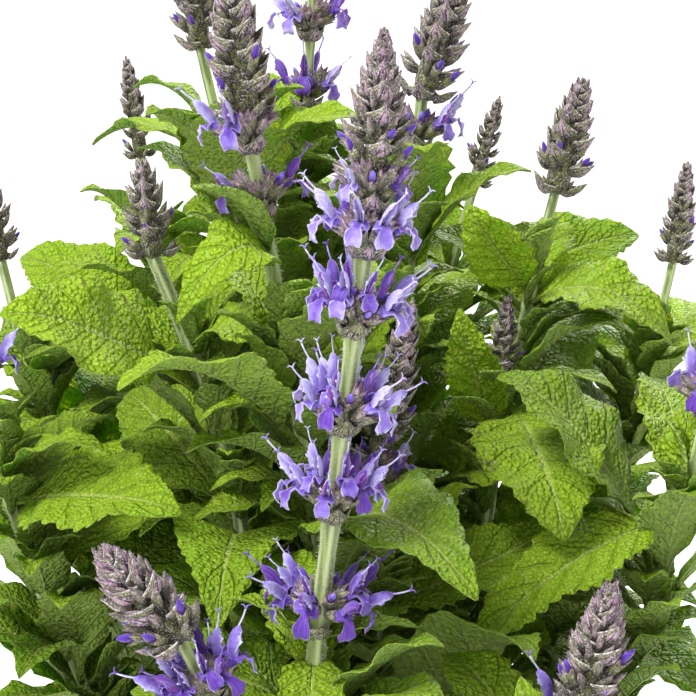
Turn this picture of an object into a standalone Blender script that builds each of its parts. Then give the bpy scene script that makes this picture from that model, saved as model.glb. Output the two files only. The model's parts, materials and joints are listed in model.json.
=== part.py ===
"""A woodland sage in a plain clay pot.

The pot and its compost are turned shapes. Eighteen flowering shoots stand in holes in the compost.
Each shoot is a square leafy stem with its leaves and bracts, a ring of open flowers at each whorl,
and a scaly bud spike on the tip. Leaves are set in opposite pairs by a seeded rule that turns,
lifts or shortens a leaf until it is clear of everything placed before it.

Metres, +Z up. The origin is the middle of the pot's foot, and -Y is the side that is looked at.
"""

import math
import random
from collections import namedtuple

import bmesh
import bpy
from mathutils import Matrix, Vector
from mathutils.bvhtree import BVHTree

MM = 0.001

# The pot and what fills it
POT_HEIGHT = 125 * MM
POT_TOP_R = 75 * MM
POT_FOOT_R = 54 * MM
POT_WALL = 6 * MM
POT_FLOOR = 8 * MM
RIM_HEIGHT = 27 * MM
RIM_STEP = 4 * MM
DRAIN_R = 6 * MM
DRAIN_RING = 30 * MM
DRAIN_HOLES = 4
POT_SIDES = 32
SOIL_TOP = 108 * MM
SOIL_SIDES = 16
SOIL_DOME = 4 * MM
GAP = 0.3 * MM
ROOT_DEPTH = 10 * MM

# What all shoots share
STEM_TAPER = 0.72
STEM_POINTS = 8
HOLE_CLEARANCE = 1.6 * MM
BRACT_LENGTH = 7.0 * MM
BRACT_WIDTH = 6.6 * MM
LEAFY_BRACT_LENGTH = 16 * MM
LEAFY_BRACT_WIDTH = 9 * MM

# Leaves
FINE_SEGMENTS = 4
PLAIN_SEGMENTS = 3
HIDDEN_SEGMENTS = 2
LEAF_THICKNESS = 1.0 * MM
PETIOLE_HALF = 0.9 * MM
TOOTH = 0.055
LOWEST_NODE = 134 * MM
INNER_LOWEST_NODE = 190 * MM
INNER_FOOT_R = 26 * MM
LONGEST_LEAF = 70 * MM
SHORTEST_LEAF = 36 * MM
LEAF_TRIES = 16
LEAF_SEED = 3

# One open flower, in the plane of its stem: (out, up) from its root on the stem
CALYX_ROOT = (0.0 * MM, 0.2 * MM)
CALYX_MOUTH = (4.6 * MM, 4.6 * MM)
THROAT = (5.3 * MM, 5.3 * MM)
HOOD_BEND = (6.2 * MM, 9.0 * MM)
HOOD_TIP = (8.6 * MM, 12.4 * MM)
LIP_SHOULDER = (7.6 * MM, 5.4 * MM)
LIP_SPOON = (10.0 * MM, 3.4 * MM)
LIP_END = (10.9 * MM, 1.0 * MM)
RING_LIFT = 3.4 * MM
RING_HEIGHT = 2.2 * MM
RING_WALL = 1.4 * MM
RING_SIDES = 6

Shoot = namedtuple("Shoot", "name foot waist neck tip stem_r spike_r whorls turn nodes")

# Where each shoot stands in the compost, where its leafless flower stalk starts, where its bud
# spike starts and ends, its stem's and spike's radii, its whorls as (height, flowers), the way its
# first leaf pair or whorl faces in degrees, and how many leaf pairs it carries. In millimetres.
SHOOTS = [
    Shoot("front", (-6, -46), (-6, -75, 235), (4.9, -75, 326), (6.8, -75, 355), 2.2, 7.2,
          [(235, 8), (256.5, 8), (274.5, 8), (294.5, 8), (310.5, 8), (319.5, 4)], 12, 3),
    Shoot("left_tall", (2, -10), (-14, -30, 288), (-22, -30, 335), (-26, -30, 371), 2.3, 8.0,
          [(313, 2), (327, 3)], 40, 4),
    Shoot("back_open", (8, 14), (-11, 80, 316), (-9, 80, 366), (-9, 80, 388), 1.6, 6.0,
          [(328, 4), (346, 4)], 20, 4),
    Shoot("right_tall", (16, 6), (15, 38, 300), (18, 40, 334), (29, 42, 371), 2.1, 7.6,
          [(321, 4)], 75, 4),
    Shoot("back_right_bud", (20, 28), (27, 92, 283), (34, 95, 307), (41, 96, 332), 1.7, 4.4,
          [], 10, 4),
    Shoot("right_bud", (30, 12), (44, 28, 288), (50, 30, 312), (57, 31, 341), 1.9, 7.4,
          [], 55, 4),
    Shoot("back_left_bud", (-20, 28), (-50, 86, 290), (-55, 90, 315), (-59, 91, 343), 1.7, 4.8,
          [], 35, 4),
    Shoot("left_bud", (-22, -8), (-36, -10, 282), (-44, -10, 302), (-46.5, -10, 325), 2.2, 6.0,
          [], 0, 4),
    Shoot("middle_bud", (14, -20), (6, -25, 245), (6.6, -25, 258), (14.8, -25, 297), 2.0, 6.2,
          [(250.5, 3)], 20, 3),
    Shoot("low_right_bud", (27, -6), (33, 20, 237), (36.6, 20, 266), (38.5, 20, 290), 1.9, 4.5,
          [], 15, 4),
    Shoot("front_left", (-22, -40), (-23, -89, 215), (-33, -92, 237), (-49, -95, 257), 2.0, 8.2,
          [(222, 6)], 70, 3),
    Shoot("back_tall", (-8, 30), (-31, 60, 318), (-37.5, 65, 345), (-41, 65, 378), 1.9, 7.0,
          [], 65, 4),
    Shoot("front_right", (20, -42), (44, -78, 203), (48, -80, 219), (53, -82, 247), 2.0, 7.6,
          [(211, 4)], 30, 3),
    Shoot("far_left", (-40, -4), (-80, -18, 258), (-86, -19, 286), (-92, -20, 313), 1.9, 6.0,
          [(272, 4)], 50, 4),
    Shoot("far_right", (42, -8), (78, -14, 250), (84, -14, 280), (90, -15, 307), 1.9, 6.4,
          [(265, 4)], 15, 4),
    Shoot("rear_left", (-36, 26), (-82, 52, 268), (-88, 56, 292), (-92, 59, 317), 1.8, 5.2,
          [], 80, 4),
    Shoot("rear_right", (38, 28), (78, 62, 266), (84, 67, 290), (88, 71, 317), 1.8, 5.4,
          [], 25, 4),
    Shoot("rear", (4, 44), (8, 104, 286), (9, 108, 318), (10, 112, 350), 1.9, 6.8,
          [(301, 4)], 45, 4),
]

Leaf = namedtuple("Leaf", "shoot root tip arch width petiole face segments", defaults=(FINE_SEGMENTS,))

# The leaves that the front view shows best, as (shoot, root, tip, arch, width, petiole share,
# the way the upper face leans). In millimetres.
PORTRAIT_LEAVES = [
    Leaf("middle_bud", (6, -25, 224), (56, -8, 243), -2, 19, 0.10, (0, -0.5, 1)),
    Leaf("middle_bud", (6, -25, 227), (20, -45, 262), 6, 16, 0.14, (-0.4, 0.8, 0.5)),
    Leaf("left_bud", (-36, -10, 280), (-66, -20, 291), 4, 17, 0.08, (0, -0.5, 1)),
    Leaf("left_bud", (-36, -10, 280), (-9, -22, 274), 12, 17, 0.10, (0, -0.4, 1)),
    Leaf("left_tall", (-16, -30, 303), (-38, -40, 291), 13, 15, 0.06, (0.2, -0.7, 1)),
    Leaf("front", (-7, -71, 228), (-8, -90, 207), 5, 13, 0.10, (0, -0.7, 0.8)),
    Leaf("far_left", (-76, -17, 247), (-36, -52, 254), 3, 26, 0.14, (0, -0.8, 1)),
    Leaf("far_right", (76, -13, 242), (25, -36, 216), 7, 20, 0.16, (0, -0.4, 1)),
    Leaf("low_right_bud", (35, 20, 254), (26, 9, 287), 3, 14, 0.12, (-0.2, -1, 0.3)),
    Leaf("right_bud", (44, 27, 288), (28, 12, 311), 5, 15, 0.10, (-0.4, -1, 0.4)),
    Leaf("right_bud", (44, 27, 286), (78, 12, 278), 10, 19, 0.10, (0, -0.6, 1)),
    Leaf("front_left", (-23, -88, 213), (-46, -66, 219), 6, 13, 0.10, (0.1, -1, 1)),
    Leaf("front_right", (44, -78, 204), (34, -92, 229), 3, 12, 0.08, (-0.3, -1, 0.4)),
]


def vec(point, z=None):
    """A point given in millimetres, as a vector in metres."""
    values = point if z is None else (*point, z)
    return Vector(values) * MM


def bezier(a, b, c, d, t):
    """A point on the cubic curve with ends a and d and handles b and c."""
    u = 1 - t
    return a * u**3 + b * (3 * u * u * t) + c * (3 * u * t * t) + d * t**3


def stem_knots(shoot):
    """The points of a stem from its root end to its neck: upright in its hole, then curving."""
    waist, neck = vec(shoot.waist), vec(shoot.neck)
    foot = Vector((shoot.foot[0] * MM, shoot.foot[1] * MM, SOIL_TOP - ROOT_DEPTH))
    collar = foot + Vector((0, 0, ROOT_DEPTH + 2 * SOIL_DOME))
    rise = waist.z - collar.z
    low = collar + Vector((0, 0, 0.38 * rise))
    high = waist - (neck - waist).normalized() * (0.36 * rise)
    rows = STEM_POINTS - 3
    curve = [bezier(collar, low, high, waist, (row + 1) / rows) for row in range(rows)]
    return [foot, collar, *curve, neck]


def stem_at(shoot, z):
    """(point, direction, radius) of a shoot's stem at the height z, in metres."""
    knots = stem_knots(shoot)
    row = max(k for k in range(len(knots) - 1) if k == 0 or knots[k].z <= z)
    low, high = knots[row], knots[row + 1]
    share = (z - knots[0].z) / (knots[-1].z - knots[0].z)
    radius = shoot.stem_r * MM * (1 - (1 - STEM_TAPER) * share)
    return low + (high - low) * ((z - low.z) / (high.z - low.z)), (high - low).normalized(), radius


def around(axis, degrees):
    """(out, side) unit vectors square to an axis, with out turned by degrees from +X."""
    angle = math.radians(degrees)
    out = Vector((math.cos(angle), math.sin(angle), 0))
    out = (out - axis * out.dot(axis)).normalized()
    return out, axis.cross(out)


# Meshes

def loft(sections, tip=None):
    """A closed mesh through sections of three or four points each, ending in a cap or a point."""
    count = len(sections[0])
    points = [p for section in sections for p in section]
    faces = [(0, k, k + 1) for k in range(1, count - 1)]
    for row in range(len(sections) - 1):
        for k in range(count):
            a = row * count + k
            b = row * count + (k + 1) % count
            # Both faces of a thin blade are split the same way, towards its edges.
            if k % 2 == 0:
                faces += [(a, b + count, b), (a, a + count, b + count)]
            else:
                faces += [(a, a + count, b), (b, a + count, b + count)]
    last = (len(sections) - 1) * count
    if tip is None:
        faces += [(last, last + k + 1, last + k) for k in range(1, count - 1)]
    else:
        points.append(tip)
        faces += [(last + k, len(points) - 1, last + (k + 1) % count) for k in range(count)]
    return points, faces


def join_lofts(parts):
    """Lofts that share the points of their ends, as one mesh. Each part is (sections, tip, capped)."""
    points, faces, index = [], [], {}

    def number(point):
        key = tuple(round(value * 1e9) for value in point)
        if key not in index:
            index[key] = len(points)
            points.append(point)
        return index[key]

    for sections, tip, (capped, pointed) in parts:
        spots, sides = loft(sections, tip)
        first = 2 if not capped else 0
        last = len(sides) if pointed else len(sides) - 2
        faces += [tuple(number(spots[corner]) for corner in side) for side in sides[first:last]]
    return points, faces


def blade_section(centre, side, normal, half_width, half_thickness):
    """Left edge, upper rib, right edge and lower rib of a thin blade."""
    return [
        centre - side * half_width,
        centre + normal * half_thickness,
        centre + side * half_width,
        centre - normal * half_thickness,
    ]


def leaf_outline(share):
    """Half the width of a sage leaf's blade at a share of its length, where 1 is the widest."""
    return math.sin(math.pi * share**0.62) ** 0.8 if 0 < share < 1 else 0.0


def leaf_frame(leaf, t):
    """(point, side, normal) on a leaf's rib at t from 0 at its root to 1 at its tip."""
    root, tip = vec(leaf.root), vec(leaf.tip)
    crown = (root + tip) / 2 + Vector(leaf.face).normalized() * (2 * leaf.arch * MM)
    point = root * (1 - t) ** 2 + crown * (2 * t * (1 - t)) + tip * t * t
    along = ((crown - root) * (1 - t) + (tip - crown) * t).normalized()
    side = along.cross(Vector(leaf.face)).normalized()
    return point, side, side.cross(along)


def leaf_mesh(leaf, thickness=LEAF_THICKNESS, spread=1.0):
    """A leaf with a petiole, a blade folded a little along its rib, and round teeth."""
    half_width = leaf.width * MM / 2 * spread
    half_thick = thickness / 2
    points, faces = [], []
    for t, half in ((0.0, PETIOLE_HALF), (leaf.petiole, PETIOLE_HALF * 1.3)):
        centre, side, normal = leaf_frame(leaf, t)
        points += blade_section(centre, side, normal, half * spread, half_thick)
    faces = [(0, 1, 2), (0, 2, 3)]
    for k in range(4):
        a, b = k, (k + 1) % 4
        faces += [(a, b + 4, b), (a, a + 4, b + 4)] if k % 2 == 0 else [(a, a + 4, b), (b, a + 4, b + 4)]
    left, top, right, low = 4, 5, 6, 7

    def edge_points(share, swell):
        t = leaf.petiole + (1 - leaf.petiole) * share
        centre, side, normal = leaf_frame(leaf, t)
        half = half_width * (leaf_outline(share) + swell)
        lift = normal * (0.22 * half)
        points.extend([centre - side * half + lift, centre + side * half + lift])
        return centre, normal

    for segment in range(leaf.segments):
        edge_points((segment + 0.62) / leaf.segments, TOOTH)
        tooth_left, tooth_right = len(points) - 2, len(points) - 1
        if segment == leaf.segments - 1:
            points.append(leaf_frame(leaf, 1.0)[0])
            end = len(points) - 1
            for edge, tooth in ((left, tooth_left), (right, tooth_right)):
                for rib in (top, low):
                    faces += [(rib, edge, tooth), (rib, tooth, end)]
            break
        centre, normal = edge_points((segment + 1) / leaf.segments, -TOOTH)
        points += [centre + normal * half_thick, centre - normal * half_thick]
        next_left, next_right, next_top, next_low = range(len(points) - 4, len(points))
        for edge, tooth, ahead in ((left, tooth_left, next_left), (right, tooth_right, next_right)):
            for rib, rib_ahead in ((top, next_top), (low, next_low)):
                faces += [(rib, edge, tooth), (rib, tooth, rib_ahead), (rib_ahead, tooth, ahead)]
        left, right, top, low = next_left, next_right, next_top, next_low
    return points, faces


def tube_mesh(shoot, swell):
    """A four-sided tube round a whole stem, wider than it by swell, for tests."""
    sections = []
    for point in stem_knots(shoot):
        _, along, radius = stem_at(shoot, point.z)
        out, side = around(along, 45)
        reach = (radius + swell) * math.sqrt(2)
        sections.append([point + out * reach, point + side * reach, point - out * reach, point - side * reach])
    return loft(sections)


def spindle_mesh(base, tip, profile, sides=6):
    """A spindle from base to tip through (share of the length, radius) pairs."""
    axis = (tip - base).normalized()
    sections = []
    for share, radius in profile:
        centre = base + (tip - base) * share
        ring = [around(axis, 360 / sides * k)[0] for k in range(sides)]
        sections.append([centre + out * radius for out in ring])
    count = sides
    points = [p for section in sections for p in section]
    faces = [tuple(range(count - 1, -1, -1))]
    for row in range(len(sections) - 1):
        for k in range(count):
            a = row * count + k
            b = row * count + (k + 1) % count
            faces.append((a, b, b + count, a + count))
    faces.append(tuple(range(len(points) - count, len(points))))
    return points, faces


# Objects

def material(name, colour, roughness, metallic=0.0):
    """A plain Principled material in linear colour."""
    made = bpy.data.materials.new(name)
    made.use_nodes = True
    shader = made.node_tree.nodes["Principled BSDF"]
    shader.inputs["Base Color"].default_value = (*colour, 1.0)
    shader.inputs["Roughness"].default_value = roughness
    shader.inputs["Metallic"].default_value = metallic
    made.diffuse_color = (*colour, 1.0)
    return made


def new_object(name, points, faces, collection, finish=None):
    """An object made of the points and faces, with its faces turned outwards."""
    mesh = bpy.data.meshes.new(name)
    mesh.from_pydata([tuple(p) for p in points], [], faces)
    cleaner = bmesh.new()
    cleaner.from_mesh(mesh)
    bmesh.ops.recalc_face_normals(cleaner, faces=cleaner.faces)
    cleaner.to_mesh(mesh)
    cleaner.free()
    made = bpy.data.objects.new(name, mesh)
    if finish:
        mesh.materials.append(finish)
    collection.objects.link(made)
    return made


def boolean(body, operation, pieces):
    """Joins the pieces, a list of (points, faces), to a body or cuts them from it, for good."""
    helpers = bpy.data.collections.new(body.name + "_helpers")
    bpy.context.scene.collection.children.link(helpers)
    for number, (points, faces) in enumerate(pieces):
        new_object(f"{body.name}_piece_{number}", points, faces, helpers)
    step = body.modifiers.new(operation.lower(), "BOOLEAN")
    step.operation = operation
    step.operand_type = "COLLECTION"
    step.collection = helpers
    step.solver = "MANIFOLD"
    bpy.context.view_layer.update()
    graph = bpy.context.evaluated_depsgraph_get()
    result = bpy.data.meshes.new_from_object(body.evaluated_get(graph))
    body.modifiers.clear()
    body.data = result
    for piece in list(helpers.objects):
        bpy.data.objects.remove(piece)
    bpy.data.collections.remove(helpers)


def turned(name, profile, sides, finish, collection):
    """A solid of revolution about +Z from an outline of (radius, height) pairs."""
    mesh = bpy.data.meshes.new(name)
    outline = [(r, 0, z) for r, z in profile]
    mesh.from_pydata(outline, [(k, k + 1) for k in range(len(outline) - 1)], [])
    mesh.materials.append(finish)
    body = bpy.data.objects.new(name, mesh)
    collection.objects.link(body)
    spin = body.modifiers.new("turn", "SCREW")
    spin.steps = spin.render_steps = sides
    spin.use_merge_vertices = True
    spin.merge_threshold = 0.00005
    return body


def make_pot(collection, finish):
    """A tapered clay pot with a heavy rim, a flat foot and drain holes round the middle."""
    under_rim = POT_HEIGHT - RIM_HEIGHT
    shoulder_r = POT_TOP_R - RIM_STEP
    round_over = 1.5 * MM
    profile = [
        (0, POT_FLOOR),
        (POT_FOOT_R - POT_WALL, POT_FLOOR),
        (POT_TOP_R - RIM_STEP - POT_WALL, under_rim),
        (POT_TOP_R - RIM_STEP - POT_WALL + 1 * MM, POT_HEIGHT - round_over),
        (POT_TOP_R - RIM_STEP - POT_WALL + 1 * MM + round_over, POT_HEIGHT),
        (POT_TOP_R - round_over, POT_HEIGHT),
        (POT_TOP_R, POT_HEIGHT - round_over),
        (POT_TOP_R - 1 * MM, under_rim + round_over),
        (POT_TOP_R - 1 * MM - round_over, under_rim),
        (shoulder_r - 3 * MM, under_rim - 1 * MM),
        (POT_FOOT_R, round_over),
        (POT_FOOT_R - round_over, 0),
        (0, 0),
    ]
    pot = turned("pot", list(profile), POT_SIDES, finish, collection)
    drains = []
    for hole in range(DRAIN_HOLES):
        middle = Matrix.Rotation(math.tau * (hole + 0.4) / DRAIN_HOLES, 4, "Z") @ Vector((DRAIN_RING, 0, 0))
        low = middle - Vector((0, 0, POT_FLOOR))
        high = middle + Vector((0, 0, 2 * POT_FLOOR))
        drains.append(spindle_mesh(low, high, [(0, DRAIN_R), (1, DRAIN_R)], sides=8))
    boolean(pot, "DIFFERENCE", drains)


def make_soil(collection, finish):
    """The compost: a low uneven dome that fills the pot, with a hole for each stem."""
    under_rim = POT_HEIGHT - RIM_HEIGHT
    slope = (POT_TOP_R - RIM_STEP - POT_FOOT_R) / (under_rim - POT_FLOOR)
    bottom = POT_FLOOR + GAP
    low_r = POT_FOOT_R - POT_WALL + slope * GAP - GAP
    wall_r = POT_TOP_R - RIM_STEP - POT_WALL - GAP
    profile = [(0, SOIL_TOP + SOIL_DOME)]
    profile += [(wall_r * share, SOIL_TOP + SOIL_DOME * (1 - share**2)) for share in (0.4, 0.75, 1)]
    profile += [(wall_r, under_rim), (low_r, bottom), (0, bottom)]
    soil = turned("compost", profile, SOIL_SIDES, finish, collection)
    holes = []
    for shoot in SHOOTS:
        foot = Vector((shoot.foot[0] * MM, shoot.foot[1] * MM, SOIL_TOP - ROOT_DEPTH - GAP))
        reach = shoot.stem_r * MM + HOLE_CLEARANCE
        holes.append(spindle_mesh(foot, foot + Vector((0, 0, 3 * ROOT_DEPTH)), [(0, reach), (1, reach)]))
    boolean(soil, "DIFFERENCE", holes)


def stem_object(shoot, collection, finish):
    """The square stem, as a curve with a four-sided section, made a mesh for joining."""
    knots = stem_knots(shoot)
    knots[-1] = knots[-1] - (knots[-1] - knots[-2]).normalized() * GAP
    curve = bpy.data.curves.new("stem", "CURVE")
    curve.dimensions = "3D"
    curve.bevel_depth = 1.0
    curve.bevel_resolution = 0
    curve.use_fill_caps = True
    line = curve.splines.new("POLY")
    line.points.add(STEM_POINTS - 1)
    for knot, point in zip(line.points, knots):
        knot.co = (*point, 1)
        knot.radius = stem_at(shoot, point.z)[2]
    guide = bpy.data.objects.new("stem_guide", curve)
    collection.objects.link(guide)
    bpy.context.view_layer.update()
    graph = bpy.context.evaluated_depsgraph_get()
    mesh = bpy.data.meshes.new_from_object(guide.evaluated_get(graph))
    cleaner = bmesh.new()
    cleaner.from_mesh(mesh)
    bmesh.ops.remove_doubles(cleaner, verts=cleaner.verts, dist=0.00001)
    bmesh.ops.recalc_face_normals(cleaner, faces=cleaner.faces)
    cleaner.to_mesh(mesh)
    cleaner.free()
    bpy.data.objects.remove(guide)
    mesh.materials.clear()
    mesh.materials.append(finish)
    stem = bpy.data.objects.new("stem_" + shoot.name, mesh)
    collection.objects.link(stem)
    return stem


# Flower heads

def whorl_bracts(shoot, number, z):
    """The pair of bracts under a whorl. The lowest whorl of the front shoot has four leafy ones."""
    leafy = shoot.name == "front" and number == 0
    base, axis, radius = stem_at(shoot, z - (2.2 * MM if leafy else 0))
    length = LEAFY_BRACT_LENGTH if leafy else BRACT_LENGTH
    width = LEAFY_BRACT_WIDTH if leafy else BRACT_WIDTH
    rise = 0.35 if leafy else 0.62
    made = []
    for turn in (0, 180):
        out, side = around(axis, shoot.turn + 90 * number + turn)
        reach = (out + axis * rise).normalized()
        normal = side.cross(reach) * -1
        root = base + out * (0.3 * radius)
        middle = root + reach * (0.5 * length) - axis * (0.06 * length)
        end = root + reach * length + axis * (0.1 * length)
        made.append(loft([
            blade_section(root, side, normal, 1.0 * MM, 0.6 * MM),
            blade_section(middle, side, normal, width / 2, 0.6 * MM),
        ], end))
    return made


def flower_mesh(base, axis, degrees, reach, size):
    """An open flower: one tube from the calyx, parting into the hood and the three-lobed lip."""
    out, side = around(axis, degrees)
    start = base + out * reach

    def place(spot):
        return start + (out * spot[0] + axis * spot[1]) * size

    def across(spot, ahead, half_width, half_depth):
        along = (place(ahead) - place(spot)).normalized()
        normal = along.cross(side)
        return blade_section(place(spot), side, normal, half_width * MM * size, half_depth * MM * size)

    root = across(CALYX_ROOT, CALYX_MOUTH, 0.55, 0.55)
    mouth = across(CALYX_MOUTH, THROAT, 1.7, 1.5)
    left, top, right, low = mouth
    throat = place(THROAT)
    hood = across(HOOD_BEND, HOOD_TIP, 1.0, 1.5)
    shoulder = across(LIP_SHOULDER, LIP_SPOON, 2.6, 0.5)
    spoon = across(LIP_SPOON, LIP_END, 2.2, 0.5)
    return join_lofts([
        ([root, mouth], None, (True, False)),
        ([[left, top, right, throat], hood], place(HOOD_TIP), (False, True)),
        ([[left, throat, right, low], shoulder, spoon], place(LIP_END), (False, True)),
    ])


def whorl_flowers(shoot, number, count):
    """[(degrees, size)] of the flowers of a whorl, up to four to the axil of each of its two bracts."""
    spread = {2: (0,), 3: (-60, 60), 4: (-60, 60), 6: (-60, 0, 60), 8: (-68, -23, 23, 68)}[count]
    first = shoot.turn + 90 * number
    placed = [(first + side + angle, 1.0 - 0.07 * (abs(angle) < 30)) for side in (0, 180) for angle in spread]
    if count == 3:
        placed = placed[:count]
    if count == 2:
        placed = [(first, 0.9), (first + 180, 0.9)]
    if shoot.name == "front" and number == len(shoot.whorls) - 1:
        placed = [(degrees, 0.62) for degrees, _ in placed]
    return placed


def ring_mesh(low, axis, inner, outer, height):
    """A low ring with flat ends round an axis."""
    sections = []
    for rise, radius in ((0, inner), (0, outer), (height, outer), (height, inner)):
        centre = low + axis * rise
        sections.append([centre + around(axis, 360 / RING_SIDES * k)[0] * radius for k in range(RING_SIDES)])
    points = [p for section in sections for p in section]
    faces = []
    for row in range(4):
        for k in range(RING_SIDES):
            a, b = row * RING_SIDES + k, row * RING_SIDES + (k + 1) % RING_SIDES
            c, d = (a + RING_SIDES) % len(points), (b + RING_SIDES) % len(points)
            faces.append((a, b, d, c))
    return points, faces


def make_whorl(shoot, number, collection, finish):
    """A ring round the stem, just above its bracts, that holds the open flowers of a whorl."""
    height, count = shoot.whorls[number]
    low, axis, radius = stem_at(shoot, height * MM + RING_LIFT)
    inner = (radius + GAP) / math.cos(math.pi / RING_SIDES)
    outer = inner + RING_WALL
    name = f"flowers_{shoot.name}_{number + 1}"
    body = new_object(name, *ring_mesh(low, axis, inner, outer, RING_HEIGHT), collection, finish)
    middle = low + axis * (0.3 * RING_HEIGHT)
    reach = radius + GAP + 0.75 * MM
    petals = [flower_mesh(middle, axis, degrees, reach, size) for degrees, size in whorl_flowers(shoot, number, count)]
    boolean(body, "UNION", petals)


def make_spike(shoot, collection, finish):
    """The tapering spike of unopened buds: tiers of crossed, pointed bract pairs round a core."""
    base, tip = vec(shoot.neck), vec(shoot.tip)
    stalk_axis = stem_at(shoot, base.z)[1]
    stalk_r = shoot.stem_r * MM * STEM_TAPER
    axis = (tip - base).normalized()
    length = (tip - base).length
    full = shoot.spike_r * MM
    plump = shoot.spike_r >= 6.5
    tiers = 6 if plump else 7
    sides = 8 if plump else 4
    pitch = 0.9 * length / tiers

    def ring(share):
        thick = full * (0.56 * math.sin(math.pi * (0.26 + 0.70 * share)) ** 0.8)
        centre = base + axis * (0.04 * length + 0.9 * length * share)
        return [centre + around(axis, shoot.turn + 360 / sides * k)[0] * thick for k in range(sides)]

    points = [base + around(stalk_axis, shoot.turn + 360 / sides * k)[0] * stalk_r for k in range(sides)]
    points += ring(0)
    faces = [tuple(range(sides - 1, -1, -1))]
    for k in range(sides):
        ahead = (k + 1) % sides
        faces.append((k, ahead, sides + ahead, sides + k))
    low = sides
    for tier in range(tiers):
        share = (tier + 0.5) / tiers
        upper = ring((tier + 1) / tiers)
        high = len(points)
        points += upper
        swell = math.sin(math.pi * (0.30 + 0.66 * share)) ** 0.7
        for k in range(0, sides, 2) if plump else range(tier % 2, sides, 2):
            main = not plump or (k // 2 + tier) % 2 == 0
            out, _ = around(axis, shoot.turn + 360 / sides * k)
            reach = full * swell * (1.0 if main else 0.86)
            rise = pitch * ((1.9 if main else 1.5) - 0.3 * share)
            points.append(base + axis * (0.04 * length + pitch * tier + rise) + out * reach)
            end = len(points) - 1
            for beside in (-1, 1):
                near = (k + beside) % sides
                faces += [(low + k, end, high + near), (low + k, high + near, low + near)]
                faces.append((high + k, high + near, end))
        low = high
    points.append(tip)
    end = len(points) - 1
    faces += [(low + k, low + (k + 1) % sides, end) for k in range(sides)]
    new_object("spike_" + shoot.name, points, faces, collection, finish)


# Where the leaves go

def tree(points, faces):
    """A search tree of a mesh, to test what crosses it."""
    return BVHTree.FromPolygons([tuple(p) for p in points], [tuple(f) for f in faces])


def still_things():
    """Trees of everything that leaves have to clear: pot, stems, whorls and spikes."""
    taken = []
    floor = Vector((0, 0, POT_HEIGHT - 20 * MM))
    rim = Vector((0, 0, POT_HEIGHT + 1 * MM))
    taken.append(("pot", tree(*spindle_mesh(floor, rim, [(0, POT_TOP_R), (1, POT_TOP_R)], sides=24))))
    for shoot in SHOOTS:
        base, tip = vec(shoot.neck), vec(shoot.tip)
        taken.append((shoot.name, tree(*tube_mesh(shoot, 0.6 * MM))))
        full = (shoot.spike_r + 2.5) * MM
        profile = [(0, 0.7 * full), (0.3, full), (1, 0.4 * full)]
        taken.append((None, tree(*spindle_mesh(base - (tip - base).normalized() * 2 * MM, tip, profile))))
        for height, _ in shoot.whorls:
            middle, axis, _ = stem_at(shoot, height * MM)
            profile = [(0, 7 * MM), (0.35, 13.5 * MM), (0.7, 13 * MM), (1, 9 * MM)]
            taken.append((None, tree(*spindle_mesh(middle - axis * MM, middle + axis * 15 * MM, profile))))
    return taken


def is_clear(leaf, taken):
    """Whether a leaf, made a little thicker and wider, crosses nothing but its own stem."""
    test = tree(*leaf_mesh(leaf, thickness=2.4 * LEAF_THICKNESS, spread=1.07))
    return not any(test.overlap(other) for owner, other in taken if owner != leaf.shoot)


def rule_spots(shoot, chance):
    """[(node number, degrees, height)] of the leaf pairs that the rule gives a shoot, from the top."""
    top = shoot.waist[2] * MM - (14 if shoot.name == "front" else 6) * MM
    low = INNER_LOWEST_NODE if math.hypot(*shoot.foot) * MM < INNER_FOOT_R else LOWEST_NODE
    spots = []
    for node in range(shoot.nodes):
        z = top - (top - low) * (node / (shoot.nodes - 1)) ** 1.4 * (1 + 0.06 * chance.uniform(-1, 1))
        for turn in (90, 270):
            spots.append((node, shoot.turn + 90 * node + turn, z))
    return spots


def try_leaf(shoot, node, degrees, z, attempt, chance):
    """A leaf for this spot. Later attempts turn, lift and shorten it more."""
    depth = min(1.0, (node + 0.3) / 2.3)
    middle, _, radius = stem_at(shoot, z)
    loose = 8 + 6 * attempt
    heading = math.radians(degrees + chance.uniform(-loose, loose))
    lift = math.radians(36 - 20 * depth + chance.uniform(-1, 1) * (9 + 3 * attempt))
    length = (SHORTEST_LEAF + (LONGEST_LEAF - SHORTEST_LEAF) * depth) * chance.uniform(0.85, 1.08)
    length *= 1 - 0.03 * attempt
    out = Vector((math.cos(heading), math.sin(heading), 0))
    root = middle + out * (0.35 * radius)
    tip = root + (out * math.cos(lift) + Vector((0, 0, math.sin(lift)))) * length
    tilt = chance.uniform(-0.35, 0.35)
    face = Vector((-out.y * tilt, out.x * tilt, 1)) - out * 0.15
    width = length * chance.uniform(0.36, 0.44) / MM
    arch = length * chance.uniform(0.12, 0.24) / MM
    segments = (FINE_SEGMENTS, PLAIN_SEGMENTS, HIDDEN_SEGMENTS)[min(node, 2)]
    return Leaf(shoot.name, tuple(root / MM), tuple(tip / MM), arch, width, 0.1 + 0.1 * depth, tuple(face), segments)


def grow_leaves():
    """Every leaf: the ones the front view shows, then the rule's, each clear of the ones before."""
    taken = still_things()
    chance = random.Random(LEAF_SEED)
    leaves = []

    def keep(leaf):
        leaves.append(leaf)
        taken.append(("leaf", tree(*leaf_mesh(leaf))))

    for leaf in PORTRAIT_LEAVES:
        keep(leaf)
    spots = [(shoot, *spot) for shoot in SHOOTS for spot in rule_spots(shoot, chance)]
    spots.sort(key=lambda spot: (spot[1], -spot[3]))
    for shoot, node, degrees, z in spots:
        for attempt in range(LEAF_TRIES):
            leaf = try_leaf(shoot, node, degrees, z, attempt, chance)
            if is_clear(leaf, taken):
                keep(leaf)
                break
    return leaves


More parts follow.
